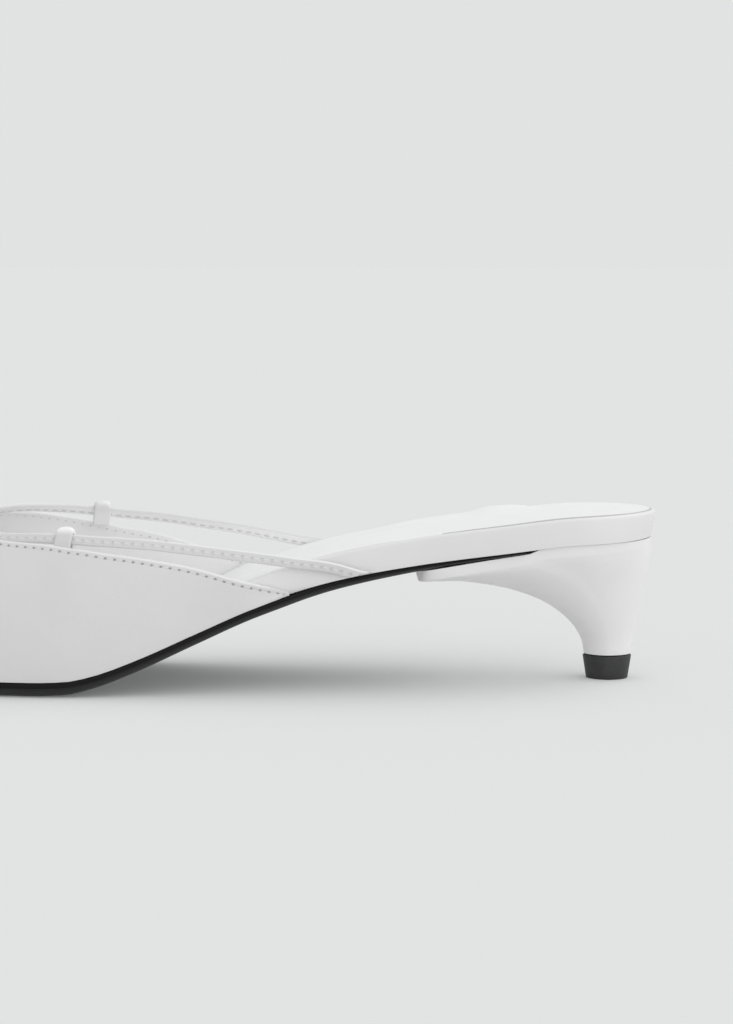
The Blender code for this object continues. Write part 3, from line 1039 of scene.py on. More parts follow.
SOCK_ROWS = (
    SockRow(0.0000, 0.00020, 0.0000),
    SockRow(0.0250, 0.00036, 0.0000),
    SockRow(0.0345, 0.00036, 0.0000),
    SockRow(0.0380, 0.00035, 0.0009),
    SockRow(0.0435, 0.00034, 0.0019),
    SockRow(0.0495, 0.00031, 0.0022),
    SockRow(0.0555, 0.00028, 0.0012),
    SockRow(0.0615, 0.00024, 0.0012),
    SockRow(0.0675, 0.00018, 0.0012),
    SockRow(0.0735, 0.00014, 0.0011),
    SockRow(0.0795, 0.00012, 0.0007),
    SockRow(0.0860, 0.00012, 0.0003),
    SockRow(0.1000, 0.00012, 0.0000),
    SockRow(0.2700, 0.00012, 0.0000),
)

PAD_SHARES = (
    (0.00, 0.10), (0.05, 0.38), (0.10, 0.72), (0.16, 0.94), (0.24, 1.00), (0.34, 0.90), (0.50, 0.60),
    (0.70, 0.25), (1.00, 0.06),
)

# Distance in from the rim, share of the groove's depth, and share drawn in to the middle.
GROOVE_PROFILE = (
    (0.00022, 0.08, 0.0), (0.00042, 0.60, 0.0), (0.00056, 1.00, 0.0), (0.00140, 1.00, 0.0),
    (0.00140, 1.00, 1.0),
)
SOCK_STEPS = (0.03, 0.06, 0.10, 0.14, 0.19, 0.25, 0.32, 0.4, 0.5, 0.6, 0.7, 0.8, 0.9, 1.0)

Height = Callable[[float, Side], float]


@dataclass
class Footbed:
    """Board wrapped in white leather, and the sock that lies on it.

    Args:
        last: The last.
        finishes: The shoe's finishes.
        rim: Radius of the rounded rim.
        foot_round: Radius of the lower edge.
        foot_inset: Distance in from the outline at which the flat underside begins.
        heel_tuck: How far the lower edge is drawn in at the back of the heel.
        tuck_reach: Reach at which that ends.
        side_bulge: How far the side swells.
        groove: Depth of the groove between the rim and the sock.
        groove_end: Reach at which the groove starts to run out.
        groove_run: Length over which it runs out.
        groove_clear: How far its floor lies under the sock.
        sock_inset: Distance of the sock's edge from the outline.
        sock_thickness: Thickness of the sock.
        medial_rise: Share of the sock's rise on the medial side.
        middle_rise: Share of its rise on the middle line.
        cut_reach: Reach up to which the sock's edge takes the cut finish with its painted shade.
        stations: Columns from the heel to the toe.
    """

    last: Last
    finishes: Finishes
    rim: float = 0.0010
    foot_round: float = 0.0003
    foot_inset: float = 0.003
    heel_tuck: float = 0.0013
    tuck_reach: float = 0.016
    side_bulge: float = 0.00012
    groove: float = 0.00036
    groove_end: float = 0.062
    groove_run: float = 0.020
    groove_clear: float = 0.00002
    sock_inset: float = 0.0016
    sock_thickness: float = 0.0006
    medial_rise: float = 0.35
    middle_rise: float = 0.6
    cut_reach: float = 0.066
    stations: int = 110
    rises: Curve = Curve.of(SOCK_ROWS, 1)
    pads: Curve = Curve.of(SOCK_ROWS, 2)
    pad_shares: Curve = Curve(PAD_SHARES)

    def under(self, reach: float, side: Side) -> float:
        """Height of the board's underside."""
        return self.last.feather(reach)

    def top(self, reach: float, side: Side) -> float:
        """Height of the board's rim."""
        return self.last.feather(reach) + self.last.bed(reach)

    def bottom_of_groove(self, reach: float, side: Side) -> float:
        """Height that the sock lies on, inside a groove that runs out towards the forepart."""
        return self.top(reach, side) - self.groove * (1 - ramp(reach, self.groove_end, self.groove_run))

    def sock_top(self, reach: float, side: Side, inward: float) -> float:
        """Height of the sock's face, from its edge at 0 to the middle line at 1.

        Args:
            reach: Distance forward from the heel's back.
            side: Side of the foot.
            inward: Share of the way from the edge to the middle line.

        Returns:
            Height over the floor.
        """
        medial = side is Side.MEDIAL
        edge = self.rises.at(reach) * (self.medial_rise if medial else 1.0)
        middle = self.rises.at(reach) * self.middle_rise
        pad = self.pad_shares.at(inward) if medial else PAD_SHARES[-1][1] * eased(inward)
        return self.top(reach, side) + blend(edge, middle, eased(inward)) + self.pads.at(reach) * pad

    def ring(self, offset: float, height: Height, inward: float = 0.0, tuck: float = 0.0) -> list[Vector]:
        """Closed ring round the outline.

        Args:
            offset: Distance out from the outline.
            height: Height at a reach and side.
            inward: Share by which it is drawn in towards the middle.
            tuck: Share of the tuck at the back of the heel that it takes.

        Returns:
            The ring's points.
        """
        def point(reach: float, side: Side) -> Vector:
            """Point of the ring on one side.

            Args:
                reach: Distance forward from the heel's back.
                side: Side of the foot.

            Returns:
                The point.
            """
            back = tuck * self.heel_tuck * (1 - eased(reach / self.tuck_reach))
            made = self.last.plan(reach, side, offset - back, height(reach, side))
            made.y = blend(made.y, self.last.middle(reach), inward)
            return made

        return two_sided(round_spacing(0.0, self.last.length, self.stations), point)

    @staticmethod
    def raised(low: Height, high: Height, share: float, lift: float = 0.0) -> Height:
        """Height a share of the way from one height to another, with a lift over it."""
        return lambda reach, side: blend(low(reach, side), high(reach, side), share) + lift

    def build_board(self) -> bpy.types.Object:
        """Wrapped board with a straight side, a softly rounded rim and a groove inside it.

        Returns:
            The finished piece.
        """
        foot, rim, under, top, bottom = self.foot_round, self.rim, self.under, self.top, self.bottom_of_groove
        rings = [self.ring(-foot, under, 1.0, 1.0), self.ring(-self.foot_inset, under, 0.0, 1.0)]
        for turn in range(5):
            sine, cosine = quarter(turn, 4)
            height = self.raised(under, under, 0.0, foot * (1 - cosine))
            rings.append(self.ring(-foot * (1 - sine), height, 0.0, 1.0))
        for share in (0.25, 0.5, 0.75):
            height = self.raised(under, top, share, blend(foot, -rim, share))
            rings.append(self.ring(self.side_bulge * math.sin(math.pi * share), height, 0.0, 1 - share))
        for turn in range(7):
            sine, cosine = quarter(turn, 6)
            rings.append(self.ring(-rim * (1 - cosine), self.raised(top, top, 0.0, -rim * (1 - sine))))
        for inset, depth, inward in GROOVE_PROFILE:
            height = self.raised(top, bottom, depth, -self.groove_clear * depth)
            rings.append(self.ring(-rim - inset, height, inward))
        material = self.finishes.made["band"]
        return piece("footbed_wrap", loft(rings), [material], ["footbed"])

    def build_sock(self) -> bpy.types.Object:
        """Lining sheet with a rounded edge and a low pad under the arch.

        Returns:
            The finished piece.
        """
        half, bottom = 0.5 * self.sock_thickness, self.bottom_of_groove
        rings = [self.ring(-self.sock_inset, bottom, inward) for inward in (1.0, 0.0)]
        for turn in range(1, 6):
            sine, cosine = quarter(turn, 5)
            height = self.raised(bottom, partial(self.sock_top, inward=0.0), sine)
            rings.append(self.ring(-self.sock_inset - half * (1 - cosine), height))
        for inward in SOCK_STEPS:
            rings.append(self.ring(-self.sock_inset - half, partial(self.sock_top, inward=inward), inward))
        bm = loft(rings, lambda i, j: Vector((0, FAR, float(j < 7))))
        # Upright edge faces at the heel take the cut finish: the cut edge's grey plus painted shade of the
        # groove.
        for face in bm.faces:
            at_heel = face.calc_center_median().x > self.last.back - self.cut_reach
            face.material_index = int(least_mark(bm, face) > 0.5 and at_heel and abs(face.normal.z) < 0.8)
        materials = [self.finishes.made["sock"], self.finishes.made["cut"]]
        return piece("sock_lining", bm, materials, ["insole_sock"])

    def build(self) -> None:
        """Make the board and the sock."""
        self.build_board()
        self.build_sock()


# Share of the bevel cut back, share of the sole's depth, and share drawn in to the middle.
SOLE_PROFILE = (
    (1.30, 0.00, 1.00), (1.55, 0.00, 0.00), (1.12, 0.00, 0.00), (1.00, 0.02, 0.00), (0.85, 0.05, 0.00),
    (0.60, 0.12, 0.00), (0.35, 0.22, 0.00), (0.16, 0.37, 0.00), (0.04, 0.48, 0.00), (0.00, 0.53, 0.00),
    (0.00, 0.56, 0.00), (-0.02, 0.62, 0.00), (-0.02, 0.90, 0.00), (0.00, 0.97, 0.00), (0.03, 1.00, 0.00),
    (0.30, 1.00, 0.00), (0.60, 1.00, 1.00),
)


@dataclass
class Outsole:
    """Black sole with a waxed edge, a bevel under it and a flat tread.

    Args:
        last: The last.
        finishes: The shoe's finishes.
        bevel: Width of the bevel where the sole is thickest.
        rear: Reach of the sole's rear end.
        flare_start: Reach at which the edge starts to come out under the vamp.
        flare_length: Length over which it does.
        ink_slope: Upward part of a face's normal over which the face is inked.
        stations: Columns from the rear end to the toe.
    """

    last: Last
    finishes: Finishes
    bevel: float = 0.0032
    rear: float = 0.0405
    flare_start: float = 0.097
    flare_length: float = 0.016
    ink_slope: float = -0.16
    stations: int = 120

    def offset(self, reach: float) -> float:
        """Offset of the edge from the footbed's outline."""
        under_vamp = GAP + self.last.vamp_wall + self.last.sole_proud
        return blend(-GAP, under_vamp, ramp(reach, self.flare_start, self.flare_length))

    def ring(self, cut: float, share: float, inward: float = 0.0) -> list[Vector]:
        """Ring with its edge cut back by a share of the bevel, at a share of the sole's depth.

        Args:
            cut: Share of the bevel that the edge is cut back by.
            share: Place up the sole's edge, from 0 at the bottom to 1 at the top.
            inward: Share of the way from the edge to the middle line.

        Returns:
            Points of the ring, once round.
        """
        last = self.last

        def point(reach: float, side: Side) -> Vector:
            """Point of the ring on one side.

            Args:
                reach: Distance forward from the heel's back.
                side: Side of the foot.

            Returns:
                The point.
            """
            bottom = last.feather(reach) - last.sole_depth(reach)
            height = blend(bottom, last.feather(reach) - GAP, share)
            back = cut * self.bevel * last.sole_depth(reach) / last.sole_thickness
            made = last.plan(reach, side, self.offset(reach) - back, height)
            made.y = blend(made.y, last.middle(reach), inward)
            return made

        return two_sided(round_spacing(self.rear, last.length, self.stations), point)

    def build(self) -> None:
        """Make the sole."""
        bm = loft([self.ring(*row) for row in SOLE_PROFILE])
        for face in bm.faces:
            face.material_index = int(face.normal.z > self.ink_slope)
        materials = [self.finishes.made["sole"], self.finishes.made["ink"]]
        piece("outsole_edge", bm, materials, ["outsole"], 50)


class HeelRow(NamedTuple):
    """Section of the heel from the tip to the seat.

    Args:
        back: Share of the way from the tip's back to the seat's.
        back_height: Share of the way up, at the back.
        front: Share of the way from the tip's front to the seat's.
        front_height: Share of the way up, at the front.
        width: Share of the way from the tip's width to the seat's.
        fullness: Power of the curve at the front.
    """

    back: float
    back_height: float
    front: float
    front_height: float
    width: float
    fullness: float


HEEL_ROWS = (
    HeelRow(0.00, 0.000, 0.000, 0.000, 0.000, 1.7),
    HeelRow(0.13, 0.110, 0.010, 0.125, 0.035, 1.7),
    HeelRow(0.28, 0.240, 0.050, 0.275, 0.110, 1.8),
    HeelRow(0.42, 0.380, 0.130, 0.437, 0.215, 1.9),
    HeelRow(0.58, 0.510, 0.245, 0.580, 0.345, 2.0),
    HeelRow(0.72, 0.630, 0.375, 0.682, 0.490, 2.1),
    HeelRow(0.82, 0.720, 0.500, 0.750, 0.630, 2.3),
    HeelRow(0.89, 0.790, 0.640, 0.801, 0.755, 2.6),
    HeelRow(0.94, 0.845, 0.790, 0.842, 0.860, 3.2),
    HeelRow(0.97, 0.890, 0.940, 0.861, 0.940, 5.0),
    HeelRow(0.98, 0.920, 1.000, 0.878, 0.975, 9.0),
    HeelRow(1.00, 1.000, 1.000, 1.000, 1.000, 12.0),
)


@dataclass
class Heel:
    """Covered heel block and its rubber tip.

    Args:
        last: The last.
        finishes: The shoe's finishes.
        reach: Reach of the block's front end.
        setback: Distance of its back from the back of the footbed.
        half_width: Half its width at the seat.
        sole_end: Reach at which the sole ends over it.
        sole_lap: Distance before that end at which the seat steps down.
        sole_step: Length of the step.
        tip_setback: Distance of the tip from the back of the footbed.
        tip_length: Length of the tip.
        tip_width: Width of the tip.
        tip_height: Height of the tip.
        tip_taper: How far its lower end is drawn in.
        tip_proud: How far its upper end stands out past the block.
        tip_edge: Radius of its edges.
        tip_rear: Share of its length at which it is widest.
        joint: Width of the joint under the footbed.
        stations: Points along a section.
        levels: Sections from the tip to the seat.
    """

    last: Last
    finishes: Finishes
    reach: float = 0.0717
    setback: float = 0.0012
    half_width: float = 0.0258
    sole_end: float = 0.0405
    sole_lap: float = 0.0045
    sole_step: float = 0.003
    tip_setback: float = 0.0072
    tip_length: float = 0.0140
    tip_width: float = 0.0130
    tip_height: float = 0.0072
    tip_taper: float = 0.0007
    tip_proud: float = 0.0003
    tip_edge: float = 0.0004
    tip_rear: float = 0.52
    joint: float = 0.00012
    stations: int = 40
    levels: int = 77
    curves: dict[str, Curve] = field(init=False)

    def __post_init__(self) -> None:
        """Curves through the columns of the heel's table, against the row's number."""
        self.curves = {
            name: Curve(tuple((i, getattr(row, name)) for i, row in enumerate(HEEL_ROWS)))
            for name in HeelRow._fields
        }

    def seat(self, reach: float) -> float:
        """Height of the heel's top."""
        sole = ramp(reach, self.sole_end - self.sole_lap, self.sole_step)
        return self.last.feather(reach) - blend(self.joint, GAP + self.last.sole_depth(reach), sole)

    def outline(self, share: float, width: float, rear: float, fullness: float) -> float:
        """Half width of a section at a share of its length.

        Args:
            share: Place along the section, from 0 at its back to 1 at its front.
            width: Half width of the section at its widest.
            rear: Share of its length that the round back takes up.
            fullness: Power of the curve at its front.

        Returns:
            Half width there.
        """
        back = min(share / rear, 1.0)
        front = max((share - rear) / (1 - rear), 0.0)
        behind = math.sqrt(max(1 - (1 - back) ** 2, 0.0))
        return width * behind * max(1 - front**fullness, 0.0) ** (1 / fullness)

    def ring(self, level: float, inward: float = 0.0) -> list[Vector]:
        """Section at a level from 0 at the tip to 1 at the seat, drawn in by a share.

        Args:
            level: Place up the heel, from 0 at the tip to 1 at the seat.
            inward: Share by which the section is drawn in to its middle line.

        Returns:
            Points of the section, once round.
        """
        read = {name: curve.at(level * (len(HEEL_ROWS) - 1)) for name, curve in self.curves.items()}
        low = self.tip_height + GAP
        back = blend(self.tip_setback, self.setback, read["back"])
        front = blend(self.tip_setback + self.tip_length, self.reach, read["front"])
        back_height = blend(low, self.seat(self.setback), read["back_height"])
        front_height = blend(low, self.seat(self.reach), read["front_height"])
        width = blend(self.tip_width / 2, self.half_width, read["width"])
        rear = blend(self.tip_rear, self.last.seat_round / self.reach, level)
        fall = self.seat(self.setback) - self.seat(self.reach)

        def point(share: float, side: Side) -> Vector:
            """Point of the ring on one side.

            Args:
                share: Place along the section, from 0 at its back to 1 at its front.
                side: Side of the foot.

            Returns:
                The point.
            """
            place = blend(back, front, share)
            drop = (self.seat(self.setback) - self.seat(blend(self.setback, self.reach, share))) / fall
            half = self.outline(share, width, rear, read["fullness"]) * (1 - inward)
            height = blend(back_height, front_height, drop)
            return Vector((self.last.back - place, self.last.heel_y + side.value * half, height))

        return two_sided(round_spacing(0.0, 1.0, self.stations), point)

    def build_cover(self) -> bpy.types.Object:
        """Heel block under its leather.

        Returns:
            The finished piece.
        """
        rings = [self.ring(0.0, 1.0)] + [self.ring(i / self.levels) for i in range(self.levels + 1)]
        rings.append(self.ring(1.0, 1.0))
        return piece("heel_cover", loft(rings), [self.finishes.made["cover"]], ["heel"], 45)

    def tip_ring(self, level: float, grow: float, inward: float) -> list[Vector]:
        """Section of the tip at a height, grown by a margin and drawn in by a share.

        Args:
            level: Height over the floor.
            grow: Margin that the section is grown by.
            inward: Share by which it is drawn in to its middle line.

        Returns:
            Points of the section, once round.
        """
        def point(share: float, side: Side) -> Vector:
            """Point of the ring on one side.

            Args:
                share: Place along the section, from 0 at its back to 1 at its front.
                side: Side of the foot.

            Returns:
                The point.
            """
            half = self.outline(share, self.tip_width / 2 + grow, self.tip_rear, HEEL_ROWS[0].fullness)
            x = self.last.back - self.tip_setback + grow - (self.tip_length + 2 * grow) * share
            return Vector((x, self.last.heel_y + side.value * half * (1 - inward), level))

        return two_sided(round_spacing(0.0, 1.0, self.stations), point)

    def build_tip(self) -> bpy.types.Object:
        """Rubber tip, a little wider than the heel's end, with softened edges.

        Returns:
            The finished piece.
        """
        edge, height, taper, proud = self.tip_edge, self.tip_height, -self.tip_taper, self.tip_proud
        turns = [quarter(turn, 4) for turn in range(5)]
        profile = [(0.0, taper - edge, 1.0), (0.0, taper - edge, 0.0)]
        profile += [(edge * (1 - cosine), taper - edge * (1 - sine), 0.0) for sine, cosine in turns[1:]]
        profile += [(height - edge * (1 - sine), proud - edge * (1 - cosine), 0.0) for sine, cosine in turns]
        profile.append((height, proud - edge, 1.0))
        bm = loft([self.tip_ring(*row) for row in profile])
        return piece("heel_tip", bm, [self.finishes.made["tip"]], ["top_piece"])

    def build(self) -> None:
        """Make the cover and the tip."""
        self.build_cover()
        self.build_tip()


@dataclass
class Station:
    """Frame at one place of the vamp's edge.

    Args:
        reach: Distance from the heel's back.
        side: Side of the foot.
        angle: Angle up the last's skin, 0 at the feather edge and a quarter turn at the ridge.
        nose: Angle that this place's line has when it reaches the toe.
        arc: Distance along the edge.
        point: Point of the edge.
        travel: Direction along the edge.
        normal: Outward normal of the last.
        edge: Direction out past the edge.
        line: Direction of the place's line towards the toe.
    """

    reach: float
    side: Side
    angle: float
    nose: float
    arc: float = 0.0
    point: Vector = field(default_factory=Vector)
    travel: Vector = field(default_factory=Vector)
    normal: Vector = field(default_factory=Vector)
    edge: Vector = field(default_factory=Vector)
    line: Vector = field(default_factory=Vector)


@dataclass
class Vamp:
    """Closed-toe upper with a folded, stitched topline and a lining.

    Args:
        last: The last.
        finishes: The shoe's finishes.
        half_stations: Places along each half of the topline.
        tail_stations: Places down each end, to the sole.
        columns: Columns from the stitched edge to the toe.
        roll: Steps round the folded edge.
        near: Distances from the topline of the closest columns.
        fold: Height of the fold over the wall.
        fold_reach: Distance from the vamp's ends over which the fold rises.
        seam_inset: Distance of the stitched groove from the edge.
        groove: Depth of the groove.
        groove_width: Width of the groove.
        skive: Distance from the vamp's ends over which the wall is skived.
        skived: Share of the wall that is left there.
        wall_run: Distance from the edge at which the wall is full again.
        least_skew: Least share by which a column's distance is measured square to the edge.
        roll_share: How far the folded edge stands out, as a share of its radius.
        tone: Share of painted highlight on the fold.
        roll_highlight: Share of painted highlight round the folded edge.
        highlight_start: Distance from the edge at which the painted highlight starts to fade.
        highlight_fade: Length over which it fades.
        thread_sink: Depth of the stitches in the groove.
    """

    last: Last
    finishes: Finishes
    half_stations: int = 96
    tail_stations: int = 3
    columns: int = 56
    roll: int = 8
    near: tuple[float, ...] = (
        0.0, 0.0003, 0.0006, 0.0009, 0.0011, 0.0012, 0.0013, 0.0015, 0.0019, 0.0025, 0.0035,
    )
    fold: float = 0.00020
    fold_reach: float = 0.012
    seam_inset: float = 0.0012
    groove: float = 0.00005
    groove_width: float = 0.00022
    skive: float = 0.014
    skived: float = 0.42
    wall_run: float = 0.006
    least_skew: float = 0.28
    roll_share: float = 0.40
    tone: float = 0.75
    roll_highlight: float = 0.6
    highlight_start: float = 0.0002
    highlight_fade: float = 0.0004
    thread_sink: float = 0.00003
    stations: list[Station] = field(init=False)

    def __post_init__(self) -> None:
        """Frames along the topline, from the lateral wing round the throat to the medial wing."""
        last = self.last
        halves = []
        for side in Side:
            rows = []
            for i in range(self.half_stations + 1):
                share = 1 - i / self.half_stations
                reach = blend(last.wing_reach, last.throat_reach, 1 - share**1.8)
                nose = (last.topline_angle(reach, Side.LATERAL) + last.topline_angle(reach, Side.MEDIAL)) / 2
                rows.append(Station(reach, side, last.topline_angle(reach, side), nose))
            tail = [Station(last.wing_reach, side, rows[0].angle * i / self.tail_stations,
                            rows[0].nose * i / self.tail_stations) for i in range(self.tail_stations)]
            halves.append(tail + rows)
        self.stations = halves[0] + halves[1][-2::-1]
        offset = GAP + last.vamp_wall
        for station in self.stations:
            station.normal = last.normal(station.reach, station.side, station.angle)
            station.point = last.skin(station.reach, station.side, station.angle) + station.normal * offset
        for before, station, after in zip(
            [self.stations[0], *self.stations], self.stations, [*self.stations[1:], self.stations[-1]]
        ):
            station.travel = (after.point - before.point).normalized()
            ahead = last.skin(station.reach + 1e-4, station.side, station.angle)
            station.line = (ahead - last.skin(station.reach, station.side, station.angle)).normalized()
            station.edge = station.normal.cross(station.travel).normalized()
            if station.edge.dot(station.line) > 0:
                station.edge = -station.edge
        for before, after in zip(self.stations, self.stations[1:]):
            after.arc = before.arc + (after.point - before.point).length

    def tail(self, station: Station) -> float:
        """Distance along the edge to its nearer end."""
        return min(station.arc, self.stations[-1].arc - station.arc)

    def wall(self, station: Station) -> float:
        """Thickness of the wall, which is skived where the edge runs down to the sole."""
        return self.last.vamp_wall * blend(self.skived, 1.0, eased(self.tail(station) / self.skive))

    def relief(self, inset: float, station: Station) -> float:
        """Height of the folded edge and its stitched groove over the plain wall.

        Args:
            inset: Distance in from the topline.
            station: Station on the topline.

        Returns:
            Height over the plain wall.
        """
        bulge = self.fold * math.sqrt(max(1 - (inset / self.seam_inset) ** 2, 0.0))
        groove = self.groove * math.exp(-(((inset - self.seam_inset) / self.groove_width) ** 2))
        return eased(self.tail(station) / self.fold_reach) * (bulge - groove)

    def reaches(self, station: Station) -> list[float]:
        """Reaches of one line's columns, from the topline to the toe.

        Args:
            station: Station on the topline.

        Returns:
            A reach for each column.
        """
        skew = max(station.line.cross(station.travel).length, self.least_skew)
        close = [station.reach + inset / skew for inset in self.near]
        far = round_spacing(-1.0, 1.0, 2 * self.columns)[self.columns + 1:]
        return close + [blend(close[-1], self.last.length, share) for share in far]

    def section(self, station: Station) -> tuple[list[Vector], list[Vector]]:
        """Closed section through the wall on one line, with the seam values of its points.

        Args:
            station: Station that the line starts from.

        Returns:
            Points of the section, and the seam values of each.
        """
        last = self.last
        skew = station.line.cross(station.travel).length
        slide = station.line.dot(station.travel)
        outer, inner, seams = [], [], []
        for reach in self.reaches(station):
            share = eased((reach - station.reach) / (last.length - station.reach))
            angle = blend(station.angle, station.nose, share)
            point, normal = last.skin(reach, station.side, angle), last.normal(reach, station.side, angle)
            run = reach - station.reach
            wall = blend(self.wall(station), last.vamp_wall, eased(run * skew / self.wall_run))
            outer.append(point + normal * (GAP + wall + self.relief(run * skew, station)))
            inner.append(point + normal * GAP)
            inset = min(run * skew, FAR)
            # Painted highlight: the fold next to the topline takes the lighter edge colour, fading inwards.
            tone = self.tone * (1 - ramp(inset, self.highlight_start, self.highlight_fade))
            seams.append(Vector((station.arc + run * slide, inset, tone)))
        radius = self.wall(station) / 2
        edge = station.point - station.normal * (last.vamp_wall - 2 * radius)
        rolled = []
        for step in range(1, self.roll):
            turn = math.pi * step / self.roll
            rise = radius + (self.fold if step < self.roll / 2 else 0.0) * math.cos(turn)
            middle = edge - station.normal * radius
            out = radius * self.roll_share * math.sin(turn)
            rolled.append(middle + station.edge * out + station.normal * (rise * math.cos(turn)))
        points = outer[::-1] + rolled + inner
        lined = [Vector((along, inset, LINED)) for along, inset, _ in seams]
        # Painted highlight round the rolled edge; the lining past it.
        folded = [Vector((station.arc, -radius, LINED if step > 0.8 * self.roll else self.roll_highlight))
                  for step in range(1, self.roll)]
        return points, seams[::-1] + folded + lined

    @staticmethod
    def closing(points: list[Vector], values: list[Vector]) -> tuple[list[Vector], list[Vector]]:
        """Section with its two faces drawn together, which closes the wall's end."""
        return [blend(point, other, 0.5) for point, other in zip(points, points[::-1])], values

    def build_upper(self) -> bpy.types.Object:
        """Upper and lining as one closed wall.

        Returns:
            The finished piece.
        """
        made = [self.section(station) for station in self.stations]
        made = [self.closing(*made[0]), *made, self.closing(*made[-1])]
        rows = len(made[0][0]) - 1
        bm = lattice(len(made) - 1, rows, lambda i, j: made[i][0][j], lambda i, j: made[i][1][j])
        for face in bm.faces:
            face.material_index = int(least_mark(bm, face) > LINED - 1)
        materials = [self.finishes.made["vamp"], self.finishes.made["lining"]]
        return piece("vamp_upper", bm, materials, ["vamp"], 55)

    def build_stitches(self) -> bpy.types.Object:
        """Threads between the needle holes along the topline.

        Returns:
            The finished piece.
        """
        stitching = self.finishes.vamp.stitching
        places = []
        index = 0
        total = self.stations[-1].arc
        for number in range(5, int(total / stitching.pitch) - 4):
            arc = number * stitching.pitch
            while self.stations[index + 1].arc < arc:
                index += 1
            before, after = self.stations[index], self.stations[index + 1]
            share = (arc - before.arc) / (after.arc - before.arc)
            middle = blend(before.point, after.point, share)
            middle = middle - blend(before.edge, after.edge, share) * stitching.inset
            out = blend(before.normal, after.normal, share).normalized()
            travel = blend(before.travel, after.travel, share).normalized()
            places.append((middle - out * (self.groove + self.thread_sink), travel, out))
        bm = row_of_stitches(places, stitching.pitch - 0.0007, 0.00054, 0.00042)
        return piece("vamp_stitches", bm, [self.finishes.made["thread"]])

    def build(self) -> None:
        """Make the upper and its stitches."""
        self.build_upper()
        self.build_stitches()


class StrapRow(NamedTuple):
    """Place of the strap from its end at the sole to the throat.

    Args:
        along: Share of the way forward from the strap's end to the throat.
        lateral: Share of the last's height, on the outer side.
        medial: Share of the last's height, on the inner side.
        tuck: Share of the way from outside the vamp to inside it.
        lean: Degrees that the strap's outer face leans upwards.
    """

    along: float
    lateral: float
    medial: float
    tuck: float
    lean: float


STRAP_ROWS = (
    StrapRow(0.000, -0.022, -0.022, 0.00, 0),
    StrapRow(0.038, 0.010, 0.012, 0.00, 0),
    StrapRow(0.082, 0.060, 0.070, 0.00, 2),
    StrapRow(0.124, 0.100, 0.115, 0.00, 4),
    StrapRow(0.172, 0.142, 0.160, 0.02, 6),
    StrapRow(0.220, 0.190, 0.212, 0.10, 9),
    StrapRow(0.305, 0.277, 0.309, 0.35, 14),
    StrapRow(0.396, 0.373, 0.409, 0.65, 16),
    StrapRow(0.501, 0.484, 0.527, 0.90, 14),
    StrapRow(0.616, 0.600, 0.655, 1.00, 10),
    StrapRow(0.721, 0.697, 0.776, 1.00, 6),
    StrapRow(0.826, 0.786, 0.896, 0.85, 3),
    StrapRow(0.915, 0.870, 0.952, 0.72, 0),
    StrapRow(0.965, 0.945, 0.981, 0.68, 0),
    StrapRow(1.000, 1.000, 1.000, 0.65, 0),
)


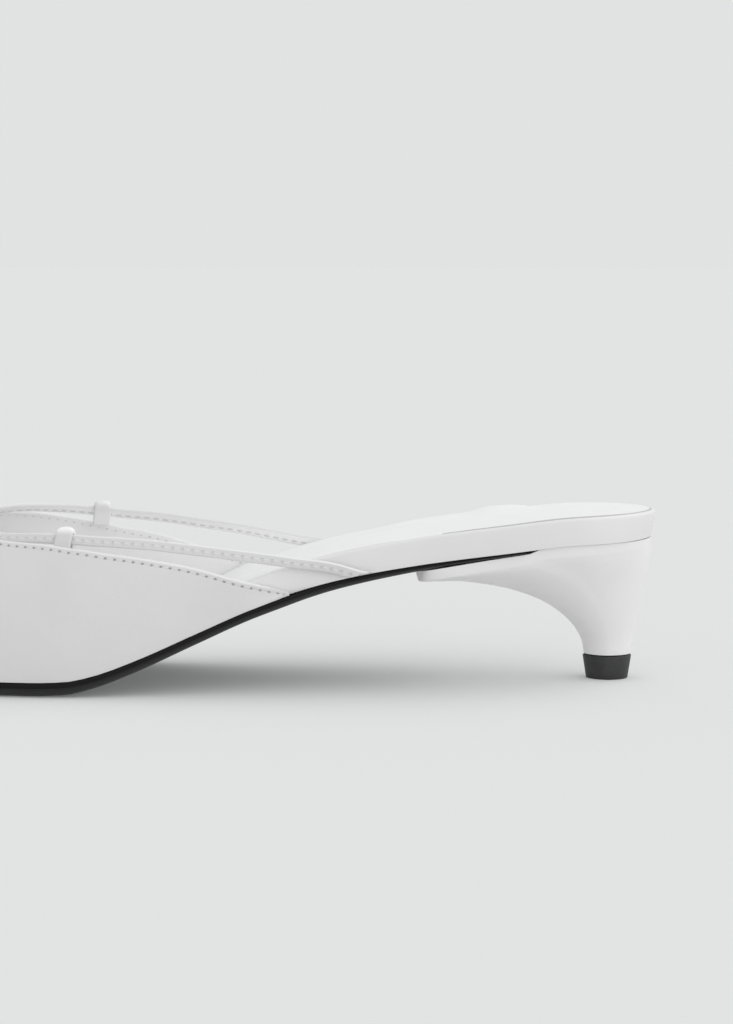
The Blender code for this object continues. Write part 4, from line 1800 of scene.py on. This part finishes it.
@dataclass
class Strap:
    """Narrow folded strap round the throat, its stitches and the two keepers that hold it.

    Args:
        last: The last.
        finishes: The shoe's finishes.
        width: Width of the strap.
        thickness: Thickness of the strap.
        section_corner: Radius of its edges.
        anchor: Reach of its ends.
        behind_throat: Distance of its front from the front of the throat.
        stations: Sections along it.
        stitch_drop: Distance of its stitches below its middle.
        first_stitch: Distance of the first stitch from its end.
        last_stitch: Share of its length at which the stitches stop.
        steps: Steps by which its length is measured for the stitches.
        sole_clear: Least height over the sole that its width adds.
        keeper_behind: Distance of the two keepers behind the throat.
        keeper_width: Width of a keeper along the strap.
        keeper_thickness: Thickness of its leather.
        keeper_corner: Radius of its edges.
        keeper_room: Height of its crown over the strap.
        keeper_tail: Length of its outer end below the strap.
        keeper_inner_tail: Length of its inner end.
        keeper_lean: How far the outer end is drawn in.
        keeper_dome: How far the crown falls towards its two sides.
        keeper_fill: How far the crown's inside comes down to the strap.
        keeper_hug: Room between keeper and strap.
        keeper_upright: Share by which it stands upright and not along the strap's face.
        keeper_fade: Distance under the crown at which the painted light starts.
        keeper_arc: Steps over the crown.
    """

    last: Last
    finishes: Finishes
    width: float = 0.0032
    thickness: float = 0.0014
    section_corner: float = 0.00062
    anchor: float = 0.0845
    behind_throat: float = 0.0014
    stations: int = 300
    stitch_drop: float = 0.0004
    first_stitch: float = 0.012
    last_stitch: float = 0.955
    steps: int = 3000
    sole_clear: float = 0.0006
    keeper_behind: dict[Side, float] = field(
        default_factory=lambda: {Side.LATERAL: 0.0435, Side.MEDIAL: 0.0498}
    )
    keeper_width: float = 0.0050
    keeper_thickness: float = 0.0008
    keeper_corner: float = 0.00030
    keeper_room: float = 0.0014
    keeper_tail: float = 0.0035
    keeper_inner_tail: float = 0.0014
    keeper_lean: float = 0.0011
    keeper_dome: float = 0.0009
    keeper_fill: float = 0.0009
    keeper_hug: float = 0.00006
    keeper_upright: float = 0.75
    keeper_fade: float = 0.0014
    keeper_arc: int = 14
    points: list[Vector] = field(init=False)
    normals: list[Vector] = field(init=False)

    def __post_init__(self) -> None:
        """Middles and outward directions at the rows, from the lateral end to the medial."""
        places = [self.place(row, Side.LATERAL) for row in STRAP_ROWS]
        places += [self.place(row, Side.MEDIAL) for row in STRAP_ROWS[-2::-1]]
        self.points = [point for point, _ in places]
        self.normals = [normal for _, normal in places]

    def place(self, row: StrapRow, side: Side) -> tuple[Vector, Vector]:
        """Middle of the strap at one row, and the way that its outer face looks.

        Args:
            row: Row of the strap's table.
            side: Side of the foot.

        Returns:
            The middle and the outward direction.
        """
        last = self.last
        reach = blend(self.anchor, last.throat_reach - self.behind_throat, row.along)
        rise = row.medial if side is Side.MEDIAL else row.lateral
        angle = math.asin(min(max(rise, 0.0), 1.0))
        normal = last.normal(reach, side, angle)
        outside = 2 * GAP + self.thickness / 2
        inside = -(GAP + self.keeper_thickness + self.thickness / 2)
        point = last.skin(reach, side, angle) + normal * blend(outside, inside, row.tuck)
        if rise < 0:
            point.z += rise * last.height(reach)
        return point, (normal + Vector((0.0, 0.0, math.tan(math.radians(row.lean))))).normalized()

    @staticmethod
    def spline(points: Sequence[Vector], at: float) -> Vector:
        """Point of a smooth curve through points; at counts them from the first.

        Args:
            points: Points that the curve goes through.
            at: Place on the curve, in points from the first.

        Returns:
            The point there.
        """
        i = min(max(int(at), 0), len(points) - 2)
        t = at - i
        a, b = points[i], points[i + 1]
        before = points[i - 1] if i else a * 2 - b
        after = points[i + 2] if i + 2 < len(points) else b * 2 - a
        return (
            b * (0.5 * (t + 4 * t * t - 3 * t**3))
            + a * (0.5 * (2 - 5 * t * t + 3 * t**3))
            + before * (0.5 * (-t + 2 * t * t - t**3))
            + after * (0.5 * (t**3 - t * t))
        )

    def frame_at(self, at: float) -> tuple[Vector, Vector, Vector, Vector]:
        """Middle, travel, outward and upward directions of the strap.

        Args:
            at: Place along the strap, in points from the first.

        Returns:
            The four vectors, in that order.
        """
        middle = self.spline(self.points, at)
        travel = (self.spline(self.points, at + 0.01) - self.spline(self.points, at - 0.01)).normalized()
        out = self.spline(self.normals, at)
        out = (out - travel * out.dot(travel)).normalized()
        up = travel.cross(out)
        return middle, travel, out, up if up.z > 0 or abs(up.z) < abs(up.x) and up.x > 0 else -up

    def corners(self) -> list[tuple[float, float]]:
        """Rounded section of the strap: thickness and height of its points, once round.

        Returns:
            Offsets of the points outward and upward from the strap's middle.
        """
        half_thick = self.thickness / 2
        arcs = corner_arcs(half_thick, self.width / 2, self.section_corner)
        face = [(half_thick, u) for u in (-0.0008, -0.0006, -0.0004, -0.0002, 0.0, 0.0004, 0.0007)]
        return sum(arcs, []) + face

    @staticmethod
    def painted_light_share(o: float, u: float) -> float:
        """Share of painted light on the section: a painted highlight on its outer top edge, and painted light
        over its lower edge and its shaded back.

        Args:
            o: Offset outward from the strap's middle.
            u: Offset upward from the strap's middle.

        Returns:
            The share, from 0 to 1.
        """
        if o <= 0:
            return 0.95 - 0.7 * ramp(u, 0.0007, 0.0008)
        top = 0.62 * ramp(u, 0.0008, 0.0005) - 0.35 * ramp(u, 0.00145, 0.00012)
        return max(top, 0.35 * ramp(-u, 0.0009, 0.0004))

    def floor(self, corner: Vector, high: float) -> Vector:
        """Corner kept over the sole beside the footbed.

        Args:
            corner: Corner of the section.
            high: Place up the strap's width, from 0 to 1.

        Returns:
            The corner, raised where it would lie in the sole.
        """
        last = self.last
        reach = last.back - corner.x
        beside = corner.y - last.middle(reach)
        side = Side.MEDIAL if beside > 0 else Side.LATERAL
        if abs(beside) > last.half_width(reach, side) - GAP:
            corner.z = max(corner.z, last.feather(reach) + GAP + high * self.sole_clear)
        return corner

    def build_strap(self) -> bpy.types.Object:
        """The strap, closed at both ends.

        Returns:
            The finished piece.
        """
        corners, last = self.corners(), len(self.points) - 1
        frames = [self.frame_at(last * i / self.stations) for i in range(self.stations + 1)]
        arcs = [0.0]
        for before, after in zip(frames, frames[1:]):
            arcs.append(arcs[-1] + (after[0] - before[0]).length)
        rings = []
        for middle, _, out, up in frames:
            rings.append([self.floor(middle + out * o + up * u, (u / self.width + 0.5)) for o, u in corners])
        arcs = [arcs[0], *arcs, arcs[-1]]
        # Third seam value: share of painted light over the strap's section.
        offs = [(abs(u + self.stitch_drop) if o > 0 else FAR, self.painted_light_share(o, u)) for o, u in corners]
        bm = loft(with_ends(rings), lambda i, j: Vector((arcs[j], *offs[i % len(offs)])))
        return piece("throat_strap", bm, [self.finishes.made["strap"]], ["strap"])

    def build_stitches(self) -> bpy.types.Object:
        """Threads along the strap's two faces.

        Returns:
            The finished piece.
        """
        pitch, face = self.finishes.strap.stitching.pitch, self.thickness / 2
        places, travelled, due, last = [], 0.0, self.first_stitch, len(self.points) - 1
        before = self.frame_at(0.0)
        for i in range(1, self.steps + 1):
            now = self.frame_at(last * i / self.steps)
            travelled += (now[0] - before[0]).length
            before = now
            if travelled > due and i < self.last_stitch * self.steps:
                middle, travel, out, up = now
                row = middle - up * self.stitch_drop
                places.append((row + out * (face - 0.00004), travel, out))
                places.append((row - out * (face - 0.00002), travel, -out))
                due += pitch
        bm = row_of_stitches(places, pitch - 0.0008, 0.00070, 0.00026)
        return piece("strap_stitches", bm, [self.finishes.made["dull_thread"]])

    def keeper_painted_light(self, side: Side, o: float, u: float) -> float:
        """Share of painted light on a keeper: a painted highlight on the outer one's crown, and painted light
        over the inner one's shaded back.

        Args:
            side: Side of the foot.
            o: Offset outward from the strap's middle.
            u: Offset upward from the strap's middle.

        Returns:
            The share, from 0 to 1.
        """
        crown = ramp(u, self.width / 2 - self.keeper_fade, self.keeper_room + self.keeper_fade)
        if side is Side.LATERAL:
            return 0.9 * crown
        return 1 - 0.5 * crown if o < 0 else 0.5 * crown

    def keeper_frame(self, side: Side) -> tuple[Vector, Vector, Vector, Vector]:
        """Middle, travel, outward and upward directions of a keeper.

        Args:
            side: Side of the foot.

        Returns:
            The four vectors, in that order.
        """
        last = len(self.points) - 1
        halves = [last / 2 * i / 800 for i in range(800)]
        places = halves if side is Side.LATERAL else [last - place for place in halves]
        x = self.last.back - self.last.throat_reach + self.keeper_behind[side]
        nearest = min(places, key=lambda at: abs(self.spline(self.points, at).x - x))
        middle, _, out, up = self.frame_at(nearest)
        upright = Vector((0.0, 0.0, 1.0)) - out * out.z
        up = blend(up, upright.normalized(), self.keeper_upright).normalized()
        return middle, out.cross(up), out, up

    def keeper_route(self, half_out: float, half_up: float) -> list[tuple[float, float]]:
        """Way of a keeper's inner face round the strap: out and up, from its outer end to its inner.

        Args:
            half_out: Half the room inside the loop, outward.
            half_up: Half the room inside the loop, upward.

        Returns:
            Offsets outward and upward from the strap's middle.
        """
        tail = -half_up - self.keeper_thickness - self.keeper_tail
        inner_tail = -half_up - self.keeper_thickness - self.keeper_inner_tail
        turns = [math.pi * i / self.keeper_arc for i in range(self.keeper_arc + 1)]
        return [
            (half_out - self.keeper_lean, tail), (half_out - self.keeper_lean * 0.4, (tail - half_up) / 2),
            (half_out, -half_up), (half_out, half_up - self.keeper_fade),
            *[(half_out * math.cos(turn), half_up + self.keeper_room * math.sin(turn)) for turn in turns],
            (-half_out, -half_up), (-half_out, inner_tail),
        ]

    def keeper_section(self) -> list[tuple[float, float]]:
        """Rounded section of a keeper's leather: its points along the strap and up from the inner face.

        Returns:
            Offsets along the strap and up from the inner face.
        """
        half_thick, flat = self.keeper_thickness / 2, self.keeper_width / 2 - self.keeper_corner
        arcs = corner_arcs(self.keeper_width / 2, half_thick, self.keeper_corner)
        shares = (0.6, 0.2, -0.2, -0.6)
        arcs[0] += [(flat * share, half_thick) for share in shares]
        arcs[2] += [(-flat * share, -half_thick) for share in shares]
        return [(wide, half_thick + level) for arc in arcs for wide, level in arc]

    def build_keeper(self, side: Side) -> bpy.types.Object:
        """Loop of leather over the strap, both ends tucked down inside the vamp.

        Args:
            side: Side of the foot.

        Returns:
            The finished piece.
        """
        middle, travel, out, up = self.keeper_frame(side)
        half_out, half_up = self.thickness / 2 + self.keeper_hug, self.width / 2 + GAP
        route, section = self.keeper_route(half_out, half_up), self.keeper_section()
        rings = []
        for (o, u), low, high in zip(route, [route[0], *route], [*route[1:], route[-1]]):
            step = Vector((high[0] - low[0], high[1] - low[1])).normalized()
            crown = max(u - half_up, 0.0) / self.keeper_room
            ring = []
            for wide, level in section:
                rise = level - self.keeper_fill * crown * (1 - level / self.keeper_thickness)
                drop = self.keeper_dome * crown * abs(wide * 2 / self.keeper_width) ** 3
                place = middle + travel * wide + out * (o + step.y * rise)
                ring.append(place + up * (u - step.x * rise - drop))
            rings.append(ring)
        route = [route[0], *route, route[-1]]
        # Third seam value: share of painted light round the keeper's loop.
        bm = loft(with_ends(rings), lambda i, j: Vector((0, FAR, self.keeper_painted_light(side, *route[j]))))
        name, material = side.name.lower(), self.finishes.made["strap"]
        return piece(f"keeper_loop_{name}", bm, [material], [f"keeper_{name}"])

    def build(self) -> None:
        """Make the strap, its stitches and the keepers."""
        self.build_strap()
        self.build_stitches()
        for side in Side:
            self.build_keeper(side)


@dataclass
class Studio:
    """Pale floor, soft light and the camera at the photograph's angle.

    Args:
        last: The last, whose heel the camera is set from.
        yaw: Turn of the camera from square to the shoe.
        pitch: How far it looks down.
        distance: Its distance from the plane through the shoe's middle.
        height: Its height over the floor.
        focal_pixels: Focal length, in pixels of the photograph.
        side_shift: How far it is moved along its own horizontal.
        pivot_reach: Reach of the point that it turns about.
        frame_height: Height of the photograph in pixels.
        sky: Colour of the even light.
        paper: Colour of the floor.
        glow: Light that the floor gives by itself.
        suns: Name, direction, strength and spread in degrees of the two lights.
    """

    last: Last
    yaw: float = math.radians(0.523)
    pitch: float = math.radians(5.117)
    distance: float = 0.8417
    height: float = 0.1256
    focal_pixels: float = 2819.2
    side_shift: float = 0.0033
    pivot_reach: float = 0.09
    frame_height: int = 1024
    sky: tuple[float, float, float] = (0.753, 0.768, 0.7605)
    paper: tuple[float, float, float] = (0.656, 0.656, 0.656)
    glow: tuple[float, float, float] = (0.108, 0.110, 0.109)
    suns: tuple[tuple[str, tuple[float, float, float], float, float], ...] = (
        ("soft_key", (0.55, 0.35, 0.90), 0.50, 50.0),
        ("front_fill", (0.70, -0.70, 0.45), 0.80, 90.0),
    )

    def build_floor(self) -> None:
        """Floor sheet under the shoe."""
        bm = bmesh.new()
        bmesh.ops.create_grid(bm, x_segments=8, y_segments=8, size=40.0)
        mesh = bpy.data.meshes.new("floor_sheet")
        bm.to_mesh(mesh)
        bm.free()
        mesh.materials.append(Paper(self.paper, self.glow).material("floor_paper"))
        sheet = bpy.data.objects.new("floor_sheet", mesh)
        bpy.context.scene.collection.objects.link(sheet)
        sheet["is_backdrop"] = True

    def build_light(self) -> None:
        """Even sky, a broad soft light from behind, above and to the right, and a low fill in front."""
        world = bpy.data.worlds.new("studio_sky")
        world.use_nodes = True
        background = world.node_tree.nodes["Background"]
        background.inputs["Color"].default_value = (*self.sky, 1)
        background.inputs["Strength"].default_value = 1.0
        bpy.context.scene.world = world
        for name, towards, strength, spread in self.suns:
            data = bpy.data.lights.new(name, "SUN")
            data.energy = strength
            data.angle = math.radians(spread)
            sun = bpy.data.objects.new(name, data)
            sun.rotation_euler = Vector(towards).to_track_quat("Z", "Y").to_euler()
            bpy.context.scene.collection.objects.link(sun)

    def build_camera(self) -> None:
        """Camera that sees the shoe as the photograph does, its toe past the left edge."""
        cos, sin = math.cos(self.yaw), math.sin(self.yaw)
        pivot = self.last.back - self.pivot_reach
        data = bpy.data.cameras.new("camera")
        data.sensor_width = 36.0
        data.lens = self.focal_pixels / self.frame_height * data.sensor_width
        data.clip_start, data.clip_end = 0.05, 100.0
        camera = bpy.data.objects.new("camera", data)
        x = pivot + self.side_shift * cos - self.distance * sin
        camera.location = (x, -self.side_shift * sin - self.distance * cos, self.height)
        camera.rotation_euler = (math.pi / 2 - self.pitch, 0.0, -self.yaw)
        bpy.context.scene.collection.objects.link(camera)
        bpy.context.scene.camera = camera

    def build(self) -> None:
        """Make the floor, the light and the camera."""
        self.build_floor()
        self.build_light()
        self.build_camera()
        bpy.context.scene.view_settings.view_transform = "Standard"


def corners() -> list[list[float]]:
    """Lowest and highest corner of what is shown, as plain lists."""
    return [list(corner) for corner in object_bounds()]


def main() -> None:
    """Build the shoe piece by piece, as it is put together."""
    logging.basicConfig(level=logging.INFO, format="%(name)s %(message)s")
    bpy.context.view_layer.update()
    last, finishes = Last(), Finishes()
    for part in (Studio(last), Footbed(last, finishes), Outsole(last, finishes), Heel(last, finishes),
                 Vamp(last, finishes), Strap(last, finishes)):
        part.build()
        LOG.info("%s built", type(part).__name__)


if __name__ == "__main__":
    main()
